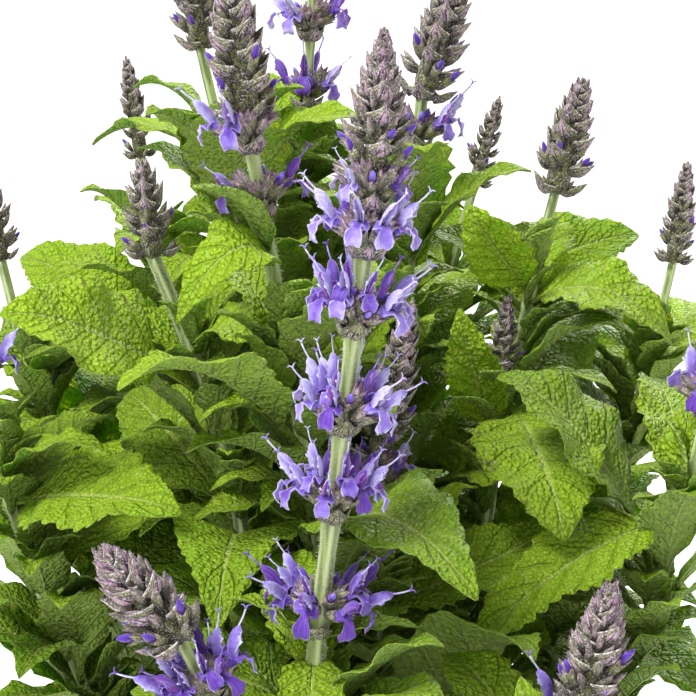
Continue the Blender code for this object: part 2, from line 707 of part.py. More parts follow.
def main():
    for leftover in list(bpy.data.objects):
        bpy.data.objects.remove(leftover)
    plant = bpy.data.collections.new("potted_woodland_sage")
    bpy.context.scene.collection.children.link(plant)
    clay = material("clay", (0.46, 0.17, 0.08), 0.85)
    compost = material("compost", (0.045, 0.028, 0.018), 0.95)
    green = material("leaf_green", (0.20, 0.36, 0.05), 0.6)
    mauve = material("bract_mauve", (0.27, 0.19, 0.20), 0.75)
    violet = material("petal_violet", (0.27, 0.20, 0.72), 0.5)
    make_pot(plant, clay)
    make_soil(plant, compost)
    leaves = grow_leaves()
    for shoot in SHOOTS:
        stem = stem_object(shoot, plant, green)
        pieces = [leaf_mesh(leaf) for leaf in leaves if leaf.shoot == shoot.name]
        for number, (height, _) in enumerate(shoot.whorls):
            pieces += whorl_bracts(shoot, number, height * MM)
        boolean(stem, "UNION", pieces)
        for number in range(len(shoot.whorls)):
            make_whorl(shoot, number, plant, violet)
        make_spike(shoot, plant, mauve)


main()
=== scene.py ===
"""The looks of the potted woodland sage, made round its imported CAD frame.

Each operator of the add-on makes one group of pieces: the clay pot, the compost, the square hairy
stalks, the wrinkled leaves, the young leaves in their axils, the open flowers and the bud spikes.
The layout of shoots and leaves follows the same rule as the solids, so each piece stands where the
frame has it. Lengths are in metres, +Z is up and -Y is the side that is looked at.
"""

import json
import math
import random
from collections import namedtuple

import bpy
import numpy as np
from bpy.props import FloatProperty, FloatVectorProperty, IntProperty, PointerProperty
from mathutils import Matrix, Vector
from mathutils.bvhtree import BVHTree

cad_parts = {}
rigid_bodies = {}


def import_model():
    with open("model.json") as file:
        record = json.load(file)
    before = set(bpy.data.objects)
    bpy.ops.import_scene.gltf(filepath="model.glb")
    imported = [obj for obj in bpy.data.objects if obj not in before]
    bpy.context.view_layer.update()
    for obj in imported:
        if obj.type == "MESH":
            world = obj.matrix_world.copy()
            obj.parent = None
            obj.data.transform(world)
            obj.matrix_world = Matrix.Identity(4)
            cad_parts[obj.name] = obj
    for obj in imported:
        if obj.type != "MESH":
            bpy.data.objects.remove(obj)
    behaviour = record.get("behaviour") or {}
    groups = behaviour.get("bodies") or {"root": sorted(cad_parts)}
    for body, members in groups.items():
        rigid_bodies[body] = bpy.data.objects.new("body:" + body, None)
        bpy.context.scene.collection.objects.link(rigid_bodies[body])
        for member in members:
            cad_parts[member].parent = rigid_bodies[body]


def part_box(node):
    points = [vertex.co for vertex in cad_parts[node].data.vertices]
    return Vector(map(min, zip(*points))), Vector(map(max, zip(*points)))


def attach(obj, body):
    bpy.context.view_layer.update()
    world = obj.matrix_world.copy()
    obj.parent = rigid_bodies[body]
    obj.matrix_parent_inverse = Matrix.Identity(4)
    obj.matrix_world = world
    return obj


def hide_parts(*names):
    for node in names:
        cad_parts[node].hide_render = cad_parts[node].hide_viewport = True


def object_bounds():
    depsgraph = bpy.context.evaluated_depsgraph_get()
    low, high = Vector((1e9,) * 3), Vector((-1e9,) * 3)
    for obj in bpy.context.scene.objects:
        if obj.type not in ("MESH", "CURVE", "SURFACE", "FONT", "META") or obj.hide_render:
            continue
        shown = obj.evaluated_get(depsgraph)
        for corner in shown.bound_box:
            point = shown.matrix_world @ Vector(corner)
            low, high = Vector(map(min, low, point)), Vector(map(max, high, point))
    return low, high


bl_info = {
    "name": "Potted woodland sage",
    "version": (1, 0, 0),
    "blender": (4, 5, 0),
    "location": "3D View > Sidebar > Sage",
    "description": "Dresses the solids of a potted woodland sage as the living plant",
    "category": "Object",
}

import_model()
CAD_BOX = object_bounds()
MM = 0.001
BODY = "root"

# The layout that the solids follow: pot and compost
POT_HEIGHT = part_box("pot")[1].z
POT_TOP_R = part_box("pot")[1].x
POT_FOOT_R = 54 * MM
POT_WALL = 6 * MM
POT_FLOOR = 8 * MM
RIM_HEIGHT = 27 * MM
RIM_STEP = 4 * MM
DRAIN_R = 6 * MM
DRAIN_RING = 30 * MM
DRAIN_HOLES = 4
SOIL_TOP = 108 * MM
SOIL_DOME = 4 * MM
GAP = 0.3 * MM
ROOT_DEPTH = 10 * MM

# The layout that the solids follow: stems, bracts, flowers and leaves
STEM_TAPER = 0.72
STEM_POINTS = 8
FINE_SEGMENTS = 4
PLAIN_SEGMENTS = 3
HIDDEN_SEGMENTS = 2
LEAF_THICKNESS = 1.0 * MM
PETIOLE_HALF = 0.9 * MM
TOOTH = 0.055
LOWEST_NODE = 134 * MM
INNER_LOWEST_NODE = 190 * MM
INNER_FOOT_R = 26 * MM
LONGEST_LEAF = 70 * MM
SHORTEST_LEAF = 36 * MM
LEAF_TRIES = 16
LEAF_SEED = 3
RING_LIFT = 3.4 * MM
RING_HEIGHT = 2.2 * MM

# What the finished pieces add
VEIN_SLANT = 1.6
AXIL_LEAVES = 4
SIDE_STEP = 8.6 * MM
SIDE_LEAF = (20 * MM, 46 * MM)
SIDE_TRIES = 8
SIDE_EASE = 0.7
SIDE_OVERHANG = 5 * MM
SIDE_LOWEST = 121 * MM
RANK_Z = 232
FILLING_ARCH = 0.14
FILLING_PETIOLE = 0.25
WHORL_CALYCES = 14
SPIKE_CROWDING = 0.66
SPIKE_TOP_TIER = 0.85
NEAREST = ("front", "front_left", "front_right")
# How much greener than mauve some spikes are
GREENER = {"left_tall": 0.25, "left_bud": 0.42, "back_left_bud": 0.4, "right_bud": 0.35, "back_tall": 0.15,
           "back_right_bud": 0.3, "far_left": 0.2, "rear_right": 0.3}
CRUMB = 1.5 * MM
DARK_FLOWERS = 0.26
SOIL_HUMPS = 260
SPIKE_NARROWING = 0.72
SPIKE_TIER = 2.55 * MM
# The core of a spike, as (share of its length, radius)
SPIKE_CORE = ((0.0, 0.30), (0.12, 0.40), (0.45, 0.34), (0.8, 0.20), (0.95, 0.05))
BUD_TURN = 137.5
FROST_LENGTH = 0.8 * MM
LEAFY_BRACT = 21
# A bract's half width at shares of its length
BRACT_SHARES = (0.0, 0.12, 0.3, 0.46, 0.62, 0.76, 0.88, 1.0)
BRACT_HALVES = (0.30, 0.48, 0.56, 0.50, 0.36, 0.21, 0.09, 0.012)
PETAL_THICKNESS = 0.16
PETAL_COLUMNS = 7
BRACT_DOWN = (0.80, 0.74, 0.75)
SHEEN_ROUGHNESS = 0.6

# The photograph's view: the camera stands before the plant and looks a little down
CAMERA_AT = (0.0, -0.5477, 0.3758)
CAMERA_TILT = 80
CAMERA_ANGLE = 16.5
FLOOR_REACH = 30.0

# The light: a pale sky, a broad sun, and a lamp behind and in front, aimed at the flowers
SKY_STRENGTH = 0.29
SUN_STRENGTH = 4.5
SUN_SPREAD = 24
SUN_WAY = (0.42, 0.30, -0.86)
BACK_POWER = 12
FRONT_POWER = 5.5
LIT_PLACE = (0, -0.02, 0.26)

# Materials, patterns, trees and the layout, once they are made
KEPT = {}

Shoot = namedtuple("Shoot", "name foot waist neck tip stem_r spike_r whorls turn nodes")

# Where each shoot stands in the compost, where its leafless flower stalk starts, where its bud
# spike starts and ends, its stem's and spike's radii, its whorls as (height, flowers), the way its
# first leaf pair or whorl faces in degrees, and how many leaf pairs it carries. In millimetres.
SHOOTS = [
    Shoot("front", (-6, -46), (-6, -75, 235), (4.9, -75, 326), (6.8, -75, 355), 2.2, 7.2,
          [(235, 8), (256.5, 8), (274.5, 8), (294.5, 8), (310.5, 8), (319.5, 4)], 12, 3),
    Shoot("left_tall", (2, -10), (-14, -30, 288), (-22, -30, 335), (-26, -30, 371), 2.3, 8.0,
          [(313, 2), (327, 3)], 40, 4),
    Shoot("back_open", (8, 14), (-11, 80, 316), (-9, 80, 366), (-9, 80, 388), 1.6, 6.0,
          [(328, 4), (346, 4)], 20, 4),
    Shoot("right_tall", (16, 6), (15, 38, 300), (18, 40, 334), (29, 42, 371), 2.1, 7.6, [(321, 4)], 75, 4),
    Shoot("back_right_bud", (20, 28), (27, 92, 283), (34, 95, 307), (41, 96, 332), 1.7, 4.4, [], 10, 4),
    Shoot("right_bud", (30, 12), (44, 28, 288), (50, 30, 312), (57, 31, 341), 1.9, 7.4, [], 55, 4),
    Shoot("back_left_bud", (-20, 28), (-50, 86, 290), (-55, 90, 315), (-59, 91, 343), 1.7, 4.8, [], 35, 4),
    Shoot("left_bud", (-22, -8), (-36, -10, 282), (-44, -10, 302), (-46.5, -10, 325), 2.2, 6.0, [], 0, 4),
    Shoot("middle_bud", (14, -20), (6, -25, 245), (6.6, -25, 258), (14.8, -25, 297), 2.0, 6.2,
          [(250.5, 3)], 20, 3),
    Shoot("low_right_bud", (27, -6), (33, 20, 237), (36.6, 20, 266), (38.5, 20, 290), 1.9, 4.5, [], 15, 4),
    Shoot("front_left", (-22, -40), (-23, -89, 215), (-33, -92, 237), (-49, -95, 257), 2.0, 8.2,
          [(222, 6)], 70, 3),
    Shoot("back_tall", (-8, 30), (-31, 60, 318), (-37.5, 65, 345), (-41, 65, 378), 1.9, 7.0, [], 65, 4),
    Shoot("front_right", (20, -42), (44, -78, 203), (48, -80, 219), (53, -82, 247), 2.0, 7.6,
          [(211, 4)], 30, 3),
    Shoot("far_left", (-40, -4), (-80, -18, 258), (-86, -19, 286), (-92, -20, 313), 1.9, 6.0,
          [(272, 4)], 50, 4),
    Shoot("far_right", (42, -8), (78, -14, 250), (84, -14, 280), (90, -15, 307), 1.9, 6.4,
          [(265, 4)], 15, 4),
    Shoot("rear_left", (-36, 26), (-82, 52, 268), (-88, 56, 292), (-92, 59, 317), 1.8, 5.2, [], 80, 4),
    Shoot("rear_right", (38, 28), (78, 62, 266), (84, 67, 290), (88, 71, 317), 1.8, 5.4, [], 25, 4),
    Shoot("rear", (4, 44), (8, 104, 286), (9, 108, 318), (10, 112, 350), 1.9, 6.8, [(301, 4)], 45, 4),
]

Leaf = namedtuple("Leaf", "shoot root tip arch width petiole face segments", defaults=(FINE_SEGMENTS,))

# The leaves that the front view shows best, as (shoot, root, tip, arch, width, petiole share,
# the way the upper face leans). In millimetres.
PORTRAIT_LEAVES = [
    Leaf("middle_bud", (6, -25, 224), (56, -8, 243), -2, 19, 0.10, (0, -0.5, 1)),
    Leaf("middle_bud", (6, -25, 227), (20, -45, 262), 6, 16, 0.14, (-0.4, 0.8, 0.5)),
    Leaf("left_bud", (-36, -10, 280), (-66, -20, 291), 4, 17, 0.08, (0, -0.5, 1)),
    Leaf("left_bud", (-36, -10, 280), (-9, -22, 274), 12, 17, 0.10, (0, -0.4, 1)),
    Leaf("left_tall", (-16, -30, 303), (-38, -40, 291), 13, 15, 0.06, (0.2, -0.7, 1)),
    Leaf("front", (-7, -71, 228), (-8, -90, 207), 5, 13, 0.10, (0, -0.7, 0.8)),
    Leaf("far_left", (-76, -17, 247), (-36, -52, 254), 3, 26, 0.14, (0, -0.8, 1)),
    Leaf("far_right", (76, -13, 242), (25, -36, 216), 7, 20, 0.16, (0, -0.4, 1)),
    Leaf("low_right_bud", (35, 20, 254), (26, 9, 287), 3, 14, 0.12, (-0.2, -1, 0.3)),
    Leaf("right_bud", (44, 27, 288), (28, 12, 311), 5, 15, 0.10, (-0.4, -1, 0.4)),
    Leaf("right_bud", (44, 27, 286), (78, 12, 278), 10, 19, 0.10, (0, -0.6, 1)),
    Leaf("front_left", (-23, -88, 213), (-46, -66, 219), 6, 13, 0.10, (0.1, -1, 1)),
    Leaf("front_right", (44, -78, 204), (34, -92, 229), 3, 12, 0.08, (-0.3, -1, 0.4)),
]


def vec(point):
    """A point given in millimetres, as a vector in metres."""
    return Vector(point) * MM


def bezier(a, b, c, d, t):
    """A point on the cubic curve with ends a and d and handles b and c."""
    u = 1 - t
    return a * u**3 + b * (3 * u * u * t) + c * (3 * u * t * t) + d * t**3


def stem_knots(shoot):
    """The points of a stem from its root end to its neck: upright in its hole, then curving."""
    waist, neck = vec(shoot.waist), vec(shoot.neck)
    foot = Vector((shoot.foot[0] * MM, shoot.foot[1] * MM, SOIL_TOP - ROOT_DEPTH))
    collar = foot + Vector((0, 0, ROOT_DEPTH + 2 * SOIL_DOME))
    rise = waist.z - collar.z
    low = collar + Vector((0, 0, 0.38 * rise))
    high = waist - (neck - waist).normalized() * (0.36 * rise)
    rows = STEM_POINTS - 3
    curve = [bezier(collar, low, high, waist, (row + 1) / rows) for row in range(rows)]
    return [foot, collar, *curve, neck]


def stem_at(shoot, z):
    """(point, direction, radius) of a shoot's stem at the height z, in metres."""
    knots = stem_knots(shoot)
    row = max(k for k in range(len(knots) - 1) if k == 0 or knots[k].z <= z)
    low, high = knots[row], knots[row + 1]
    share = (z - knots[0].z) / (knots[-1].z - knots[0].z)
    radius = shoot.stem_r * MM * (1 - (1 - STEM_TAPER) * share)
    return low + (high - low) * ((z - low.z) / (high.z - low.z)), (high - low).normalized(), radius


def around(axis, degrees):
    """(out, side) unit vectors square to an axis, with out turned by degrees from +X."""
    angle = math.radians(degrees)
    out = Vector((math.cos(angle), math.sin(angle), 0))
    out = (out - axis * out.dot(axis)).normalized()
    return out, axis.cross(out)


# The placement rule of the solids, repeated so that the finished leaves stand where they do

def side_faces(first):
    """The faces between the four points that start at first and the four after them."""
    faces = []
    for k in range(4):
        a, b = first + k, first + (k + 1) % 4
        # Both faces of a thin blade are split the same way, towards its edges.
        if k % 2 == 0:
            faces += [(a, b + 4, b), (a, a + 4, b + 4)]
        else:
            faces += [(a, a + 4, b), (b, a + 4, b + 4)]
    return faces


def blade_section(centre, side, normal, half_width, half_thickness):
    """Left edge, upper rib, right edge and lower rib of a thin blade."""
    return [
        centre - side * half_width,
        centre + normal * half_thickness,
        centre + side * half_width,
        centre - normal * half_thickness,
    ]


def leaf_outline(share):
    """Half the width of a sage leaf's blade at a share of its length, where 1 is the widest."""
    return math.sin(math.pi * share**0.62) ** 0.8 if 0 < share < 1 else 0.0


def leaf_frame(leaf, t):
    """(point, side, normal) on a leaf's rib at t from 0 at its root to 1 at its tip."""
    root, tip = vec(leaf.root), vec(leaf.tip)
    crown = (root + tip) / 2 + Vector(leaf.face).normalized() * (2 * leaf.arch * MM)
    point = root * (1 - t) ** 2 + crown * (2 * t * (1 - t)) + tip * t * t
    along = ((crown - root) * (1 - t) + (tip - crown) * t).normalized()
    side = along.cross(Vector(leaf.face)).normalized()
    return point, side, side.cross(along)


def leaf_mesh(leaf, thickness=LEAF_THICKNESS, spread=1.0):
    """A leaf with a petiole, a blade folded a little along its rib, and round teeth."""
    half_width = leaf.width * MM / 2 * spread
    half_thick = thickness / 2
    points = []
    for t, half in ((0.0, PETIOLE_HALF), (leaf.petiole, PETIOLE_HALF * 1.3)):
        centre, side, normal = leaf_frame(leaf, t)
        points += blade_section(centre, side, normal, half * spread, half_thick)
    faces = [(0, 1, 2), (0, 2, 3)] + side_faces(0)
    left, top, right, low = 4, 5, 6, 7

    def edge_points(share, swell):
        t = leaf.petiole + (1 - leaf.petiole) * share
        centre, side, normal = leaf_frame(leaf, t)
        half = half_width * (leaf_outline(share) + swell)
        lift = normal * (0.22 * half)
        points.extend([centre - side * half + lift, centre + side * half + lift])
        return centre, normal

    for segment in range(leaf.segments):
        edge_points((segment + 0.62) / leaf.segments, TOOTH)
        tooth_left, tooth_right = len(points) - 2, len(points) - 1
        if segment == leaf.segments - 1:
            points.append(leaf_frame(leaf, 1.0)[0])
            end = len(points) - 1
            for edge, tooth in ((left, tooth_left), (right, tooth_right)):
                for rib in (top, low):
                    faces += [(rib, edge, tooth), (rib, tooth, end)]
            break
        centre, normal = edge_points((segment + 1) / leaf.segments, -TOOTH)
        points += [centre + normal * half_thick, centre - normal * half_thick]
        next_left, next_right, next_top, next_low = range(len(points) - 4, len(points))
        for edge, tooth, ahead in ((left, tooth_left, next_left), (right, tooth_right, next_right)):
            for rib, rib_ahead in ((top, next_top), (low, next_low)):
                faces += [(rib, edge, tooth), (rib, tooth, rib_ahead), (rib_ahead, tooth, ahead)]
        left, right, top, low = next_left, next_right, next_top, next_low
    return points, faces


def tube_mesh(shoot, swell):
    """A four-sided tube round a whole stem, wider than it by swell, for tests."""
    points, faces = [], [(0, 1, 2), (0, 2, 3)]
    for point in stem_knots(shoot):
        _, along, radius = stem_at(shoot, point.z)
        out, side = around(along, 45)
        reach = (radius + swell) * math.sqrt(2)
        points += [point + out * reach, point + side * reach, point - out * reach, point - side * reach]
    last = len(points) - 4
    for first in range(0, last, 4):
        faces += side_faces(first)
    return points, faces + [(last, last + 2, last + 1), (last, last + 3, last + 2)]


def spindle_mesh(base, tip, profile, sides=6):
    """A spindle from base to tip through (share of the length, radius) pairs."""
    axis = (tip - base).normalized()
    ways = [around(axis, 360 / sides * k)[0] for k in range(sides)]
    points = [base + (tip - base) * share + out * radius for share, radius in profile for out in ways]
    return points, tube_faces(len(profile), sides)


def whorl_flowers(shoot, number, count):
    """[(degrees, size)] of the flowers of a whorl, up to four to the axil of each of its two bracts."""
    spread = {2: (0,), 3: (-60, 60), 4: (-60, 60), 6: (-60, 0, 60), 8: (-68, -23, 23, 68)}[count]
    first = shoot.turn + 90 * number
    placed = [(first + side + angle, 1.0 - 0.07 * (abs(angle) < 30)) for side in (0, 180) for angle in spread]
    if count == 3:
        placed = placed[:count]
    if count == 2:
        placed = [(first, 0.9), (first + 180, 0.9)]
    if shoot.name == "front" and number == len(shoot.whorls) - 1:
        placed = [(degrees, 0.62) for degrees, _ in placed]
    return placed


def search_tree(points, faces):
    """A search tree of a mesh, to test what crosses it."""
    return BVHTree.FromPolygons([tuple(p) for p in points], [tuple(f) for f in faces])


def still_things():
    """Trees of everything that leaves have to clear: pot, stems, whorls and spikes."""
    floor = Vector((0, 0, POT_HEIGHT - 20 * MM))
    rim = Vector((0, 0, POT_HEIGHT + 1 * MM))
    taken = [("pot", search_tree(*spindle_mesh(floor, rim, [(0, POT_TOP_R), (1, POT_TOP_R)], sides=24)))]
    for shoot in SHOOTS:
        base, tip = vec(shoot.neck), vec(shoot.tip)
        taken.append((shoot.name, search_tree(*tube_mesh(shoot, 0.6 * MM))))
        full = (shoot.spike_r + 2.5) * MM
        profile = [(0, 0.7 * full), (0.3, full), (1, 0.4 * full)]
        low = base - (tip - base).normalized() * 2 * MM
        taken.append((None, search_tree(*spindle_mesh(low, tip, profile))))
        for height, _ in shoot.whorls:
            middle, axis, _ = stem_at(shoot, height * MM)
            profile = [(0, 7 * MM), (0.35, 13.5 * MM), (0.7, 13 * MM), (1, 9 * MM)]
            ends = (middle - axis * MM, middle + axis * 15 * MM)
            taken.append((None, search_tree(*spindle_mesh(*ends, profile))))
    return taken


def is_clear(leaf, taken):
    """Whether a leaf, made a little thicker and wider, crosses nothing but its own stem."""
    test = search_tree(*leaf_mesh(leaf, thickness=2.4 * LEAF_THICKNESS, spread=1.07))
    return not any(test.overlap(other) for owner, other in taken if owner != leaf.shoot)


def rule_spots(shoot, chance):
    """[(node number, degrees, height)] of the leaf pairs that the rule gives a shoot, from the top."""
    top = shoot.waist[2] * MM - (14 if shoot.name == "front" else 6) * MM
    low = INNER_LOWEST_NODE if math.hypot(*shoot.foot) * MM < INNER_FOOT_R else LOWEST_NODE
    spots = []
    for node in range(shoot.nodes):
        z = top - (top - low) * (node / (shoot.nodes - 1)) ** 1.4 * (1 + 0.06 * chance.uniform(-1, 1))
        for turn in (90, 270):
            spots.append((node, shoot.turn + 90 * node + turn, z))
    return spots


def try_leaf(shoot, node, degrees, z, attempt, chance):
    """A leaf for this spot. Later attempts turn, lift and shorten it more."""
    depth = min(1.0, (node + 0.3) / 2.3)
    middle, _, radius = stem_at(shoot, z)
    loose = 8 + 6 * attempt
    heading = math.radians(degrees + chance.uniform(-loose, loose))
    lift = math.radians(36 - 20 * depth + chance.uniform(-1, 1) * (9 + 3 * attempt))
    length = (SHORTEST_LEAF + (LONGEST_LEAF - SHORTEST_LEAF) * depth) * chance.uniform(0.85, 1.08)
    length *= 1 - 0.03 * attempt
    out = Vector((math.cos(heading), math.sin(heading), 0))
    root = middle + out * (0.35 * radius)
    tip = root + (out * math.cos(lift) + Vector((0, 0, math.sin(lift)))) * length
    tilt = chance.uniform(-0.35, 0.35)
    face = Vector((-out.y * tilt, out.x * tilt, 1)) - out * 0.15
    width = length * chance.uniform(0.36, 0.44) / MM
    arch = length * chance.uniform(0.12, 0.24) / MM
    segments = (FINE_SEGMENTS, PLAIN_SEGMENTS, HIDDEN_SEGMENTS)[min(node, 2)]
    petiole = 0.1 + 0.1 * depth
    return Leaf(shoot.name, tuple(root / MM), tuple(tip / MM), arch, width, petiole, tuple(face), segments)


def grow_leaves():
    """(every leaf, search trees of all that leaves clear): the front view's leaves, then the rule's."""
    taken = still_things()
    chance = random.Random(LEAF_SEED)
    leaves = []

    def keep(leaf):
        leaves.append(leaf)
        taken.append(("leaf", search_tree(*leaf_mesh(leaf))))

    for leaf in PORTRAIT_LEAVES:
        keep(leaf)
    spots = [(shoot, *spot) for shoot in SHOOTS for spot in rule_spots(shoot, chance)]
    spots.sort(key=lambda spot: (spot[1], -spot[3]))
    for shoot, node, degrees, z in spots:
        for attempt in range(LEAF_TRIES):
            leaf = try_leaf(shoot, node, degrees, z, attempt, chance)
            if is_clear(leaf, taken):
                keep(leaf)
                break
    return leaves, taken


# Meshes

class Shape:
    """The points, faces, material slots and colour values of a piece while it is being made."""

    def __init__(self):
        self.points, self.faces, self.slots, self.values, self.charts = [], [], [], [], []

    def add(self, points, faces, slot=0, value=0.0, chart=None):
        """Adds a closed surface. value is one number, or one for each point; chart is (u, v) a point."""
        first = len(self.points)
        points = [tuple(p) for p in points]
        self.points += points
        self.faces += [tuple(first + corner for corner in face) for face in faces]
        self.slots += list(slot) if hasattr(slot, "__len__") else [slot] * len(faces)
        self.values += list(value) if hasattr(value, "__len__") else [value] * len(points)
        self.charts += list(chart) if chart is not None else [(0.5, 0.5)] * len(points)

    def to_object(self, name, materials):
        """The shape as an object with smooth faces, its values in the attribute tone and a UV map."""
        mesh = bpy.data.meshes.new(name)
        mesh.from_pydata(self.points, [], self.faces)
        for finish in materials:
            mesh.materials.append(finish)
        mesh.polygons.foreach_set("material_index", np.array(self.slots, np.int32))
        tone = mesh.attributes.new("tone", "FLOAT", "POINT")
        tone.data.foreach_set("value", np.array(self.values, np.float32))
        corners = np.zeros(len(mesh.loops), np.int32)
        mesh.loops.foreach_get("vertex_index", corners)
        chart = mesh.uv_layers.new(name="UVMap")
        chart.data.foreach_set("uv", np.array(self.charts, np.float32)[corners].ravel())
        mesh.shade_smooth()
        mesh.update()
        return in_scene(name, mesh)


def grid_faces(rows, columns):
    """Quads of a sheet of rows by columns points, facing the way that rows cross columns."""
    return [
        (row * columns + k, row * columns + k + 1, (row + 1) * columns + k + 1, (row + 1) * columns + k)
        for row in range(rows - 1) for k in range(columns - 1)
    ]


def sheet_border(rows, columns):
    """The numbers of a sheet's outer points, in the order that its faces run round it."""
    low = list(range(columns - 1))
    right = [row * columns + columns - 1 for row in range(rows - 1)]
    high = [(rows - 1) * columns + k for k in range(columns - 1, 0, -1)]
    left = [row * columns for row in range(rows - 1, 0, -1)]
    return low + right + high + left


def closed_sheet(top, bottom, rows, columns):
    """A thin closed body between two sheets of points. top is on the side that its faces look to."""
    count = rows * columns
    faces = grid_faces(rows, columns)
    upper = len(faces)
    faces += [tuple(count + corner for corner in reversed(face)) for face in faces]
    border = sheet_border(rows, columns)
    for here, ahead in zip(border, border[1:] + border[:1]):
        faces.append((ahead, here, here + count, ahead + count))
    slots = [0] * upper + [1] * (len(faces) - upper)
    return np.concatenate([top, bottom]), faces, slots


def tube_faces(rows, sides):
    """The faces of a tube of rows of points round a path, closed at both ends."""
    faces = [tuple(range(sides - 1, -1, -1))]
    for row in range(rows - 1):
        for k in range(sides):
            a, b = row * sides + k, row * sides + (k + 1) % sides
            faces.append((a, b, b + sides, a + sides))
    faces.append(tuple(range((rows - 1) * sides, rows * sides)))
    return faces


def unit(vectors):
    """The vectors, rows of an array, at length 1."""
    return vectors / np.maximum(np.linalg.norm(vectors, axis=-1, keepdims=True), 1e-12)


def smooth_path(points, count):
    """count points along a smooth curve (Catmull-Rom) through the given ones."""
    knots = np.array([tuple(p) for p in points], float)
    knots = np.vstack([2 * knots[0] - knots[1], knots, 2 * knots[-1] - knots[-2]])
    along = np.linspace(0, len(knots) - 3 - 1e-9, count)
    piece = along.astype(int)
    t = (along - piece)[:, None]
    a, b, c, d = (knots[piece + k] for k in range(4))
    return 0.5 * (2 * b + (c - a) * t + (2 * a - 5 * b + 4 * c - d) * t**2 + (3 * b - a - 3 * c + d) * t**3)


def ring_points(radius, sides, z=0.0, middle=(0, 0)):
    """Points round a circle at a height."""
    angles = [math.tau * k / sides for k in range(sides)]
    return [(middle[0] + radius * math.cos(a), middle[1] + radius * math.sin(a), z) for a in angles]


def tube(path, radii, sides, lean=(0, 1, 0), section=None):
    """The points of a tube round a path, its first side near lean. section is a factor for each side."""
    along = unit(np.gradient(path, axis=0))
    side = unit(np.cross(along, np.array(lean, float)))
    normal = np.cross(side, along)
    angles = np.arange(sides) * math.tau / sides
    shape = np.ones(sides) if section is None else np.array(section)
    wide = (np.cos(angles) * shape)[None, :, None] * normal[:, None, :]
    deep = (np.sin(angles) * shape)[None, :, None] * side[:, None, :]
    points = path[:, None, :] + (wide + deep) * np.broadcast_to(radii, len(path))[:, None, None]
    return points.reshape(-1, 3)


def turned_shape(profile, sides):
    """A solid turned about +Z. Its (radius, height) pairs run from the axis over the outside to the axis."""
    rings = profile[1:-1]
    points = [point for r, z in rings for point in ring_points(r, sides, z)]
    start, end = len(points), len(points) + 1
    points += [(0, 0, profile[0][1]), (0, 0, profile[-1][1])]
    faces = []
    for k in range(sides):
        ahead = (k + 1) % sides
        faces.append((start, k, ahead))
        last = (len(rings) - 1) * sides
        faces.append((end, last + ahead, last + k))
        for row in range(len(rings) - 1):
            a, b = row * sides + k, row * sides + ahead
            faces.append((a, a + sides, b + sides, b))
    return points, faces


# Materials

def node(tree, kind, inputs=None, **settings):
    """A node with its settings, and its inputs linked or set by name or number."""
    made = tree.nodes.new(kind)
    for name, value in settings.items():
        setattr(made, name, value)
    for key, value in (inputs or {}).items():
        if isinstance(value, bpy.types.NodeSocket):
            tree.links.new(value, made.inputs[key])
        else:
            made.inputs[key].default_value = value
    return made


def mix(tree, factor, first, second):
    """A colour between two, as a socket. A colour is a socket or three linear numbers."""
    ends = [end if isinstance(end, bpy.types.NodeSocket) else (*end, 1.0) for end in (first, second)]
    return node(tree, "ShaderNodeMix", {0: factor, 6: ends[0], 7: ends[1]}, data_type="RGBA").outputs[2]


def span(tree, value, low, high, to_low=0.0, to_high=1.0):
    """A value mapped smoothly from one range to another and held inside it, as a socket."""
    inputs = {0: value, 1: low, 2: high, 3: to_low, 4: to_high}
    return node(tree, "ShaderNodeMapRange", inputs, interpolation_type="SMOOTHSTEP").outputs[0]


def maths(tree, operation, *values):
    """The result of a Math node, as a socket."""
    return node(tree, "ShaderNodeMath", dict(enumerate(values)), operation=operation).outputs[0]


def times(tree, first, second):
    """The product of two numbers, as a socket."""
    return maths(tree, "MULTIPLY", first, second)


def plus(tree, first, second):
    """The sum of two numbers, as a socket."""
    return maths(tree, "ADD", first, second)


def scaled(colour, factor):
    """A colour darkened or brightened by a factor."""
    return tuple(factor * share for share in colour)


def spots(tree, scale, detail=2.0, place=None, stretch=None):
    """Noise in object space, as a socket. scale is in spots for each metre."""
    if place is None:
        place = node(tree, "ShaderNodeTexCoord").outputs["Object"]
    if stretch:
        place = node(tree, "ShaderNodeMapping", {0: place, 3: stretch}).outputs[0]
    return node(tree, "ShaderNodeTexNoise", {"Vector": place, "Scale": scale, "Detail": detail}).outputs[0]


def attribute(tree, name):
    """A number that each point of the mesh carries, as a socket."""
    return node(tree, "ShaderNodeAttribute", attribute_name=name).outputs["Fac"]


def finish(name, paint, roughness, specular, bump=None, glow=0.0, glow_reach=None, sheen=0.0):
    """A Principled material. paint(tree) gives its colour; bump is (height(tree), strength, depth)."""
    made = bpy.data.materials.new(name)
    made.use_nodes = True
    tree = made.node_tree
    shader = tree.nodes["Principled BSDF"].inputs
    shader["Specular IOR Level"].default_value = specular
    shader["Sheen Weight"].default_value = sheen
    shader["Sheen Roughness"].default_value = SHEEN_ROUGHNESS
    tree.links.new(paint(tree), shader["Base Color"])
    if callable(roughness):
        tree.links.new(roughness(tree), shader["Roughness"])
    else:
        shader["Roughness"].default_value = roughness
    if glow:
        shader["Subsurface Weight"].default_value = glow
        shader["Subsurface Radius"].default_value = glow_reach
        shader["Subsurface Scale"].default_value = MM
    if bump:
        height, strength, depth = bump
        relief = {"Height": height(tree), "Strength": strength, "Distance": depth}
        tree.links.new(node(tree, "ShaderNodeBump", relief).outputs[0], shader["Normal"])
    return made


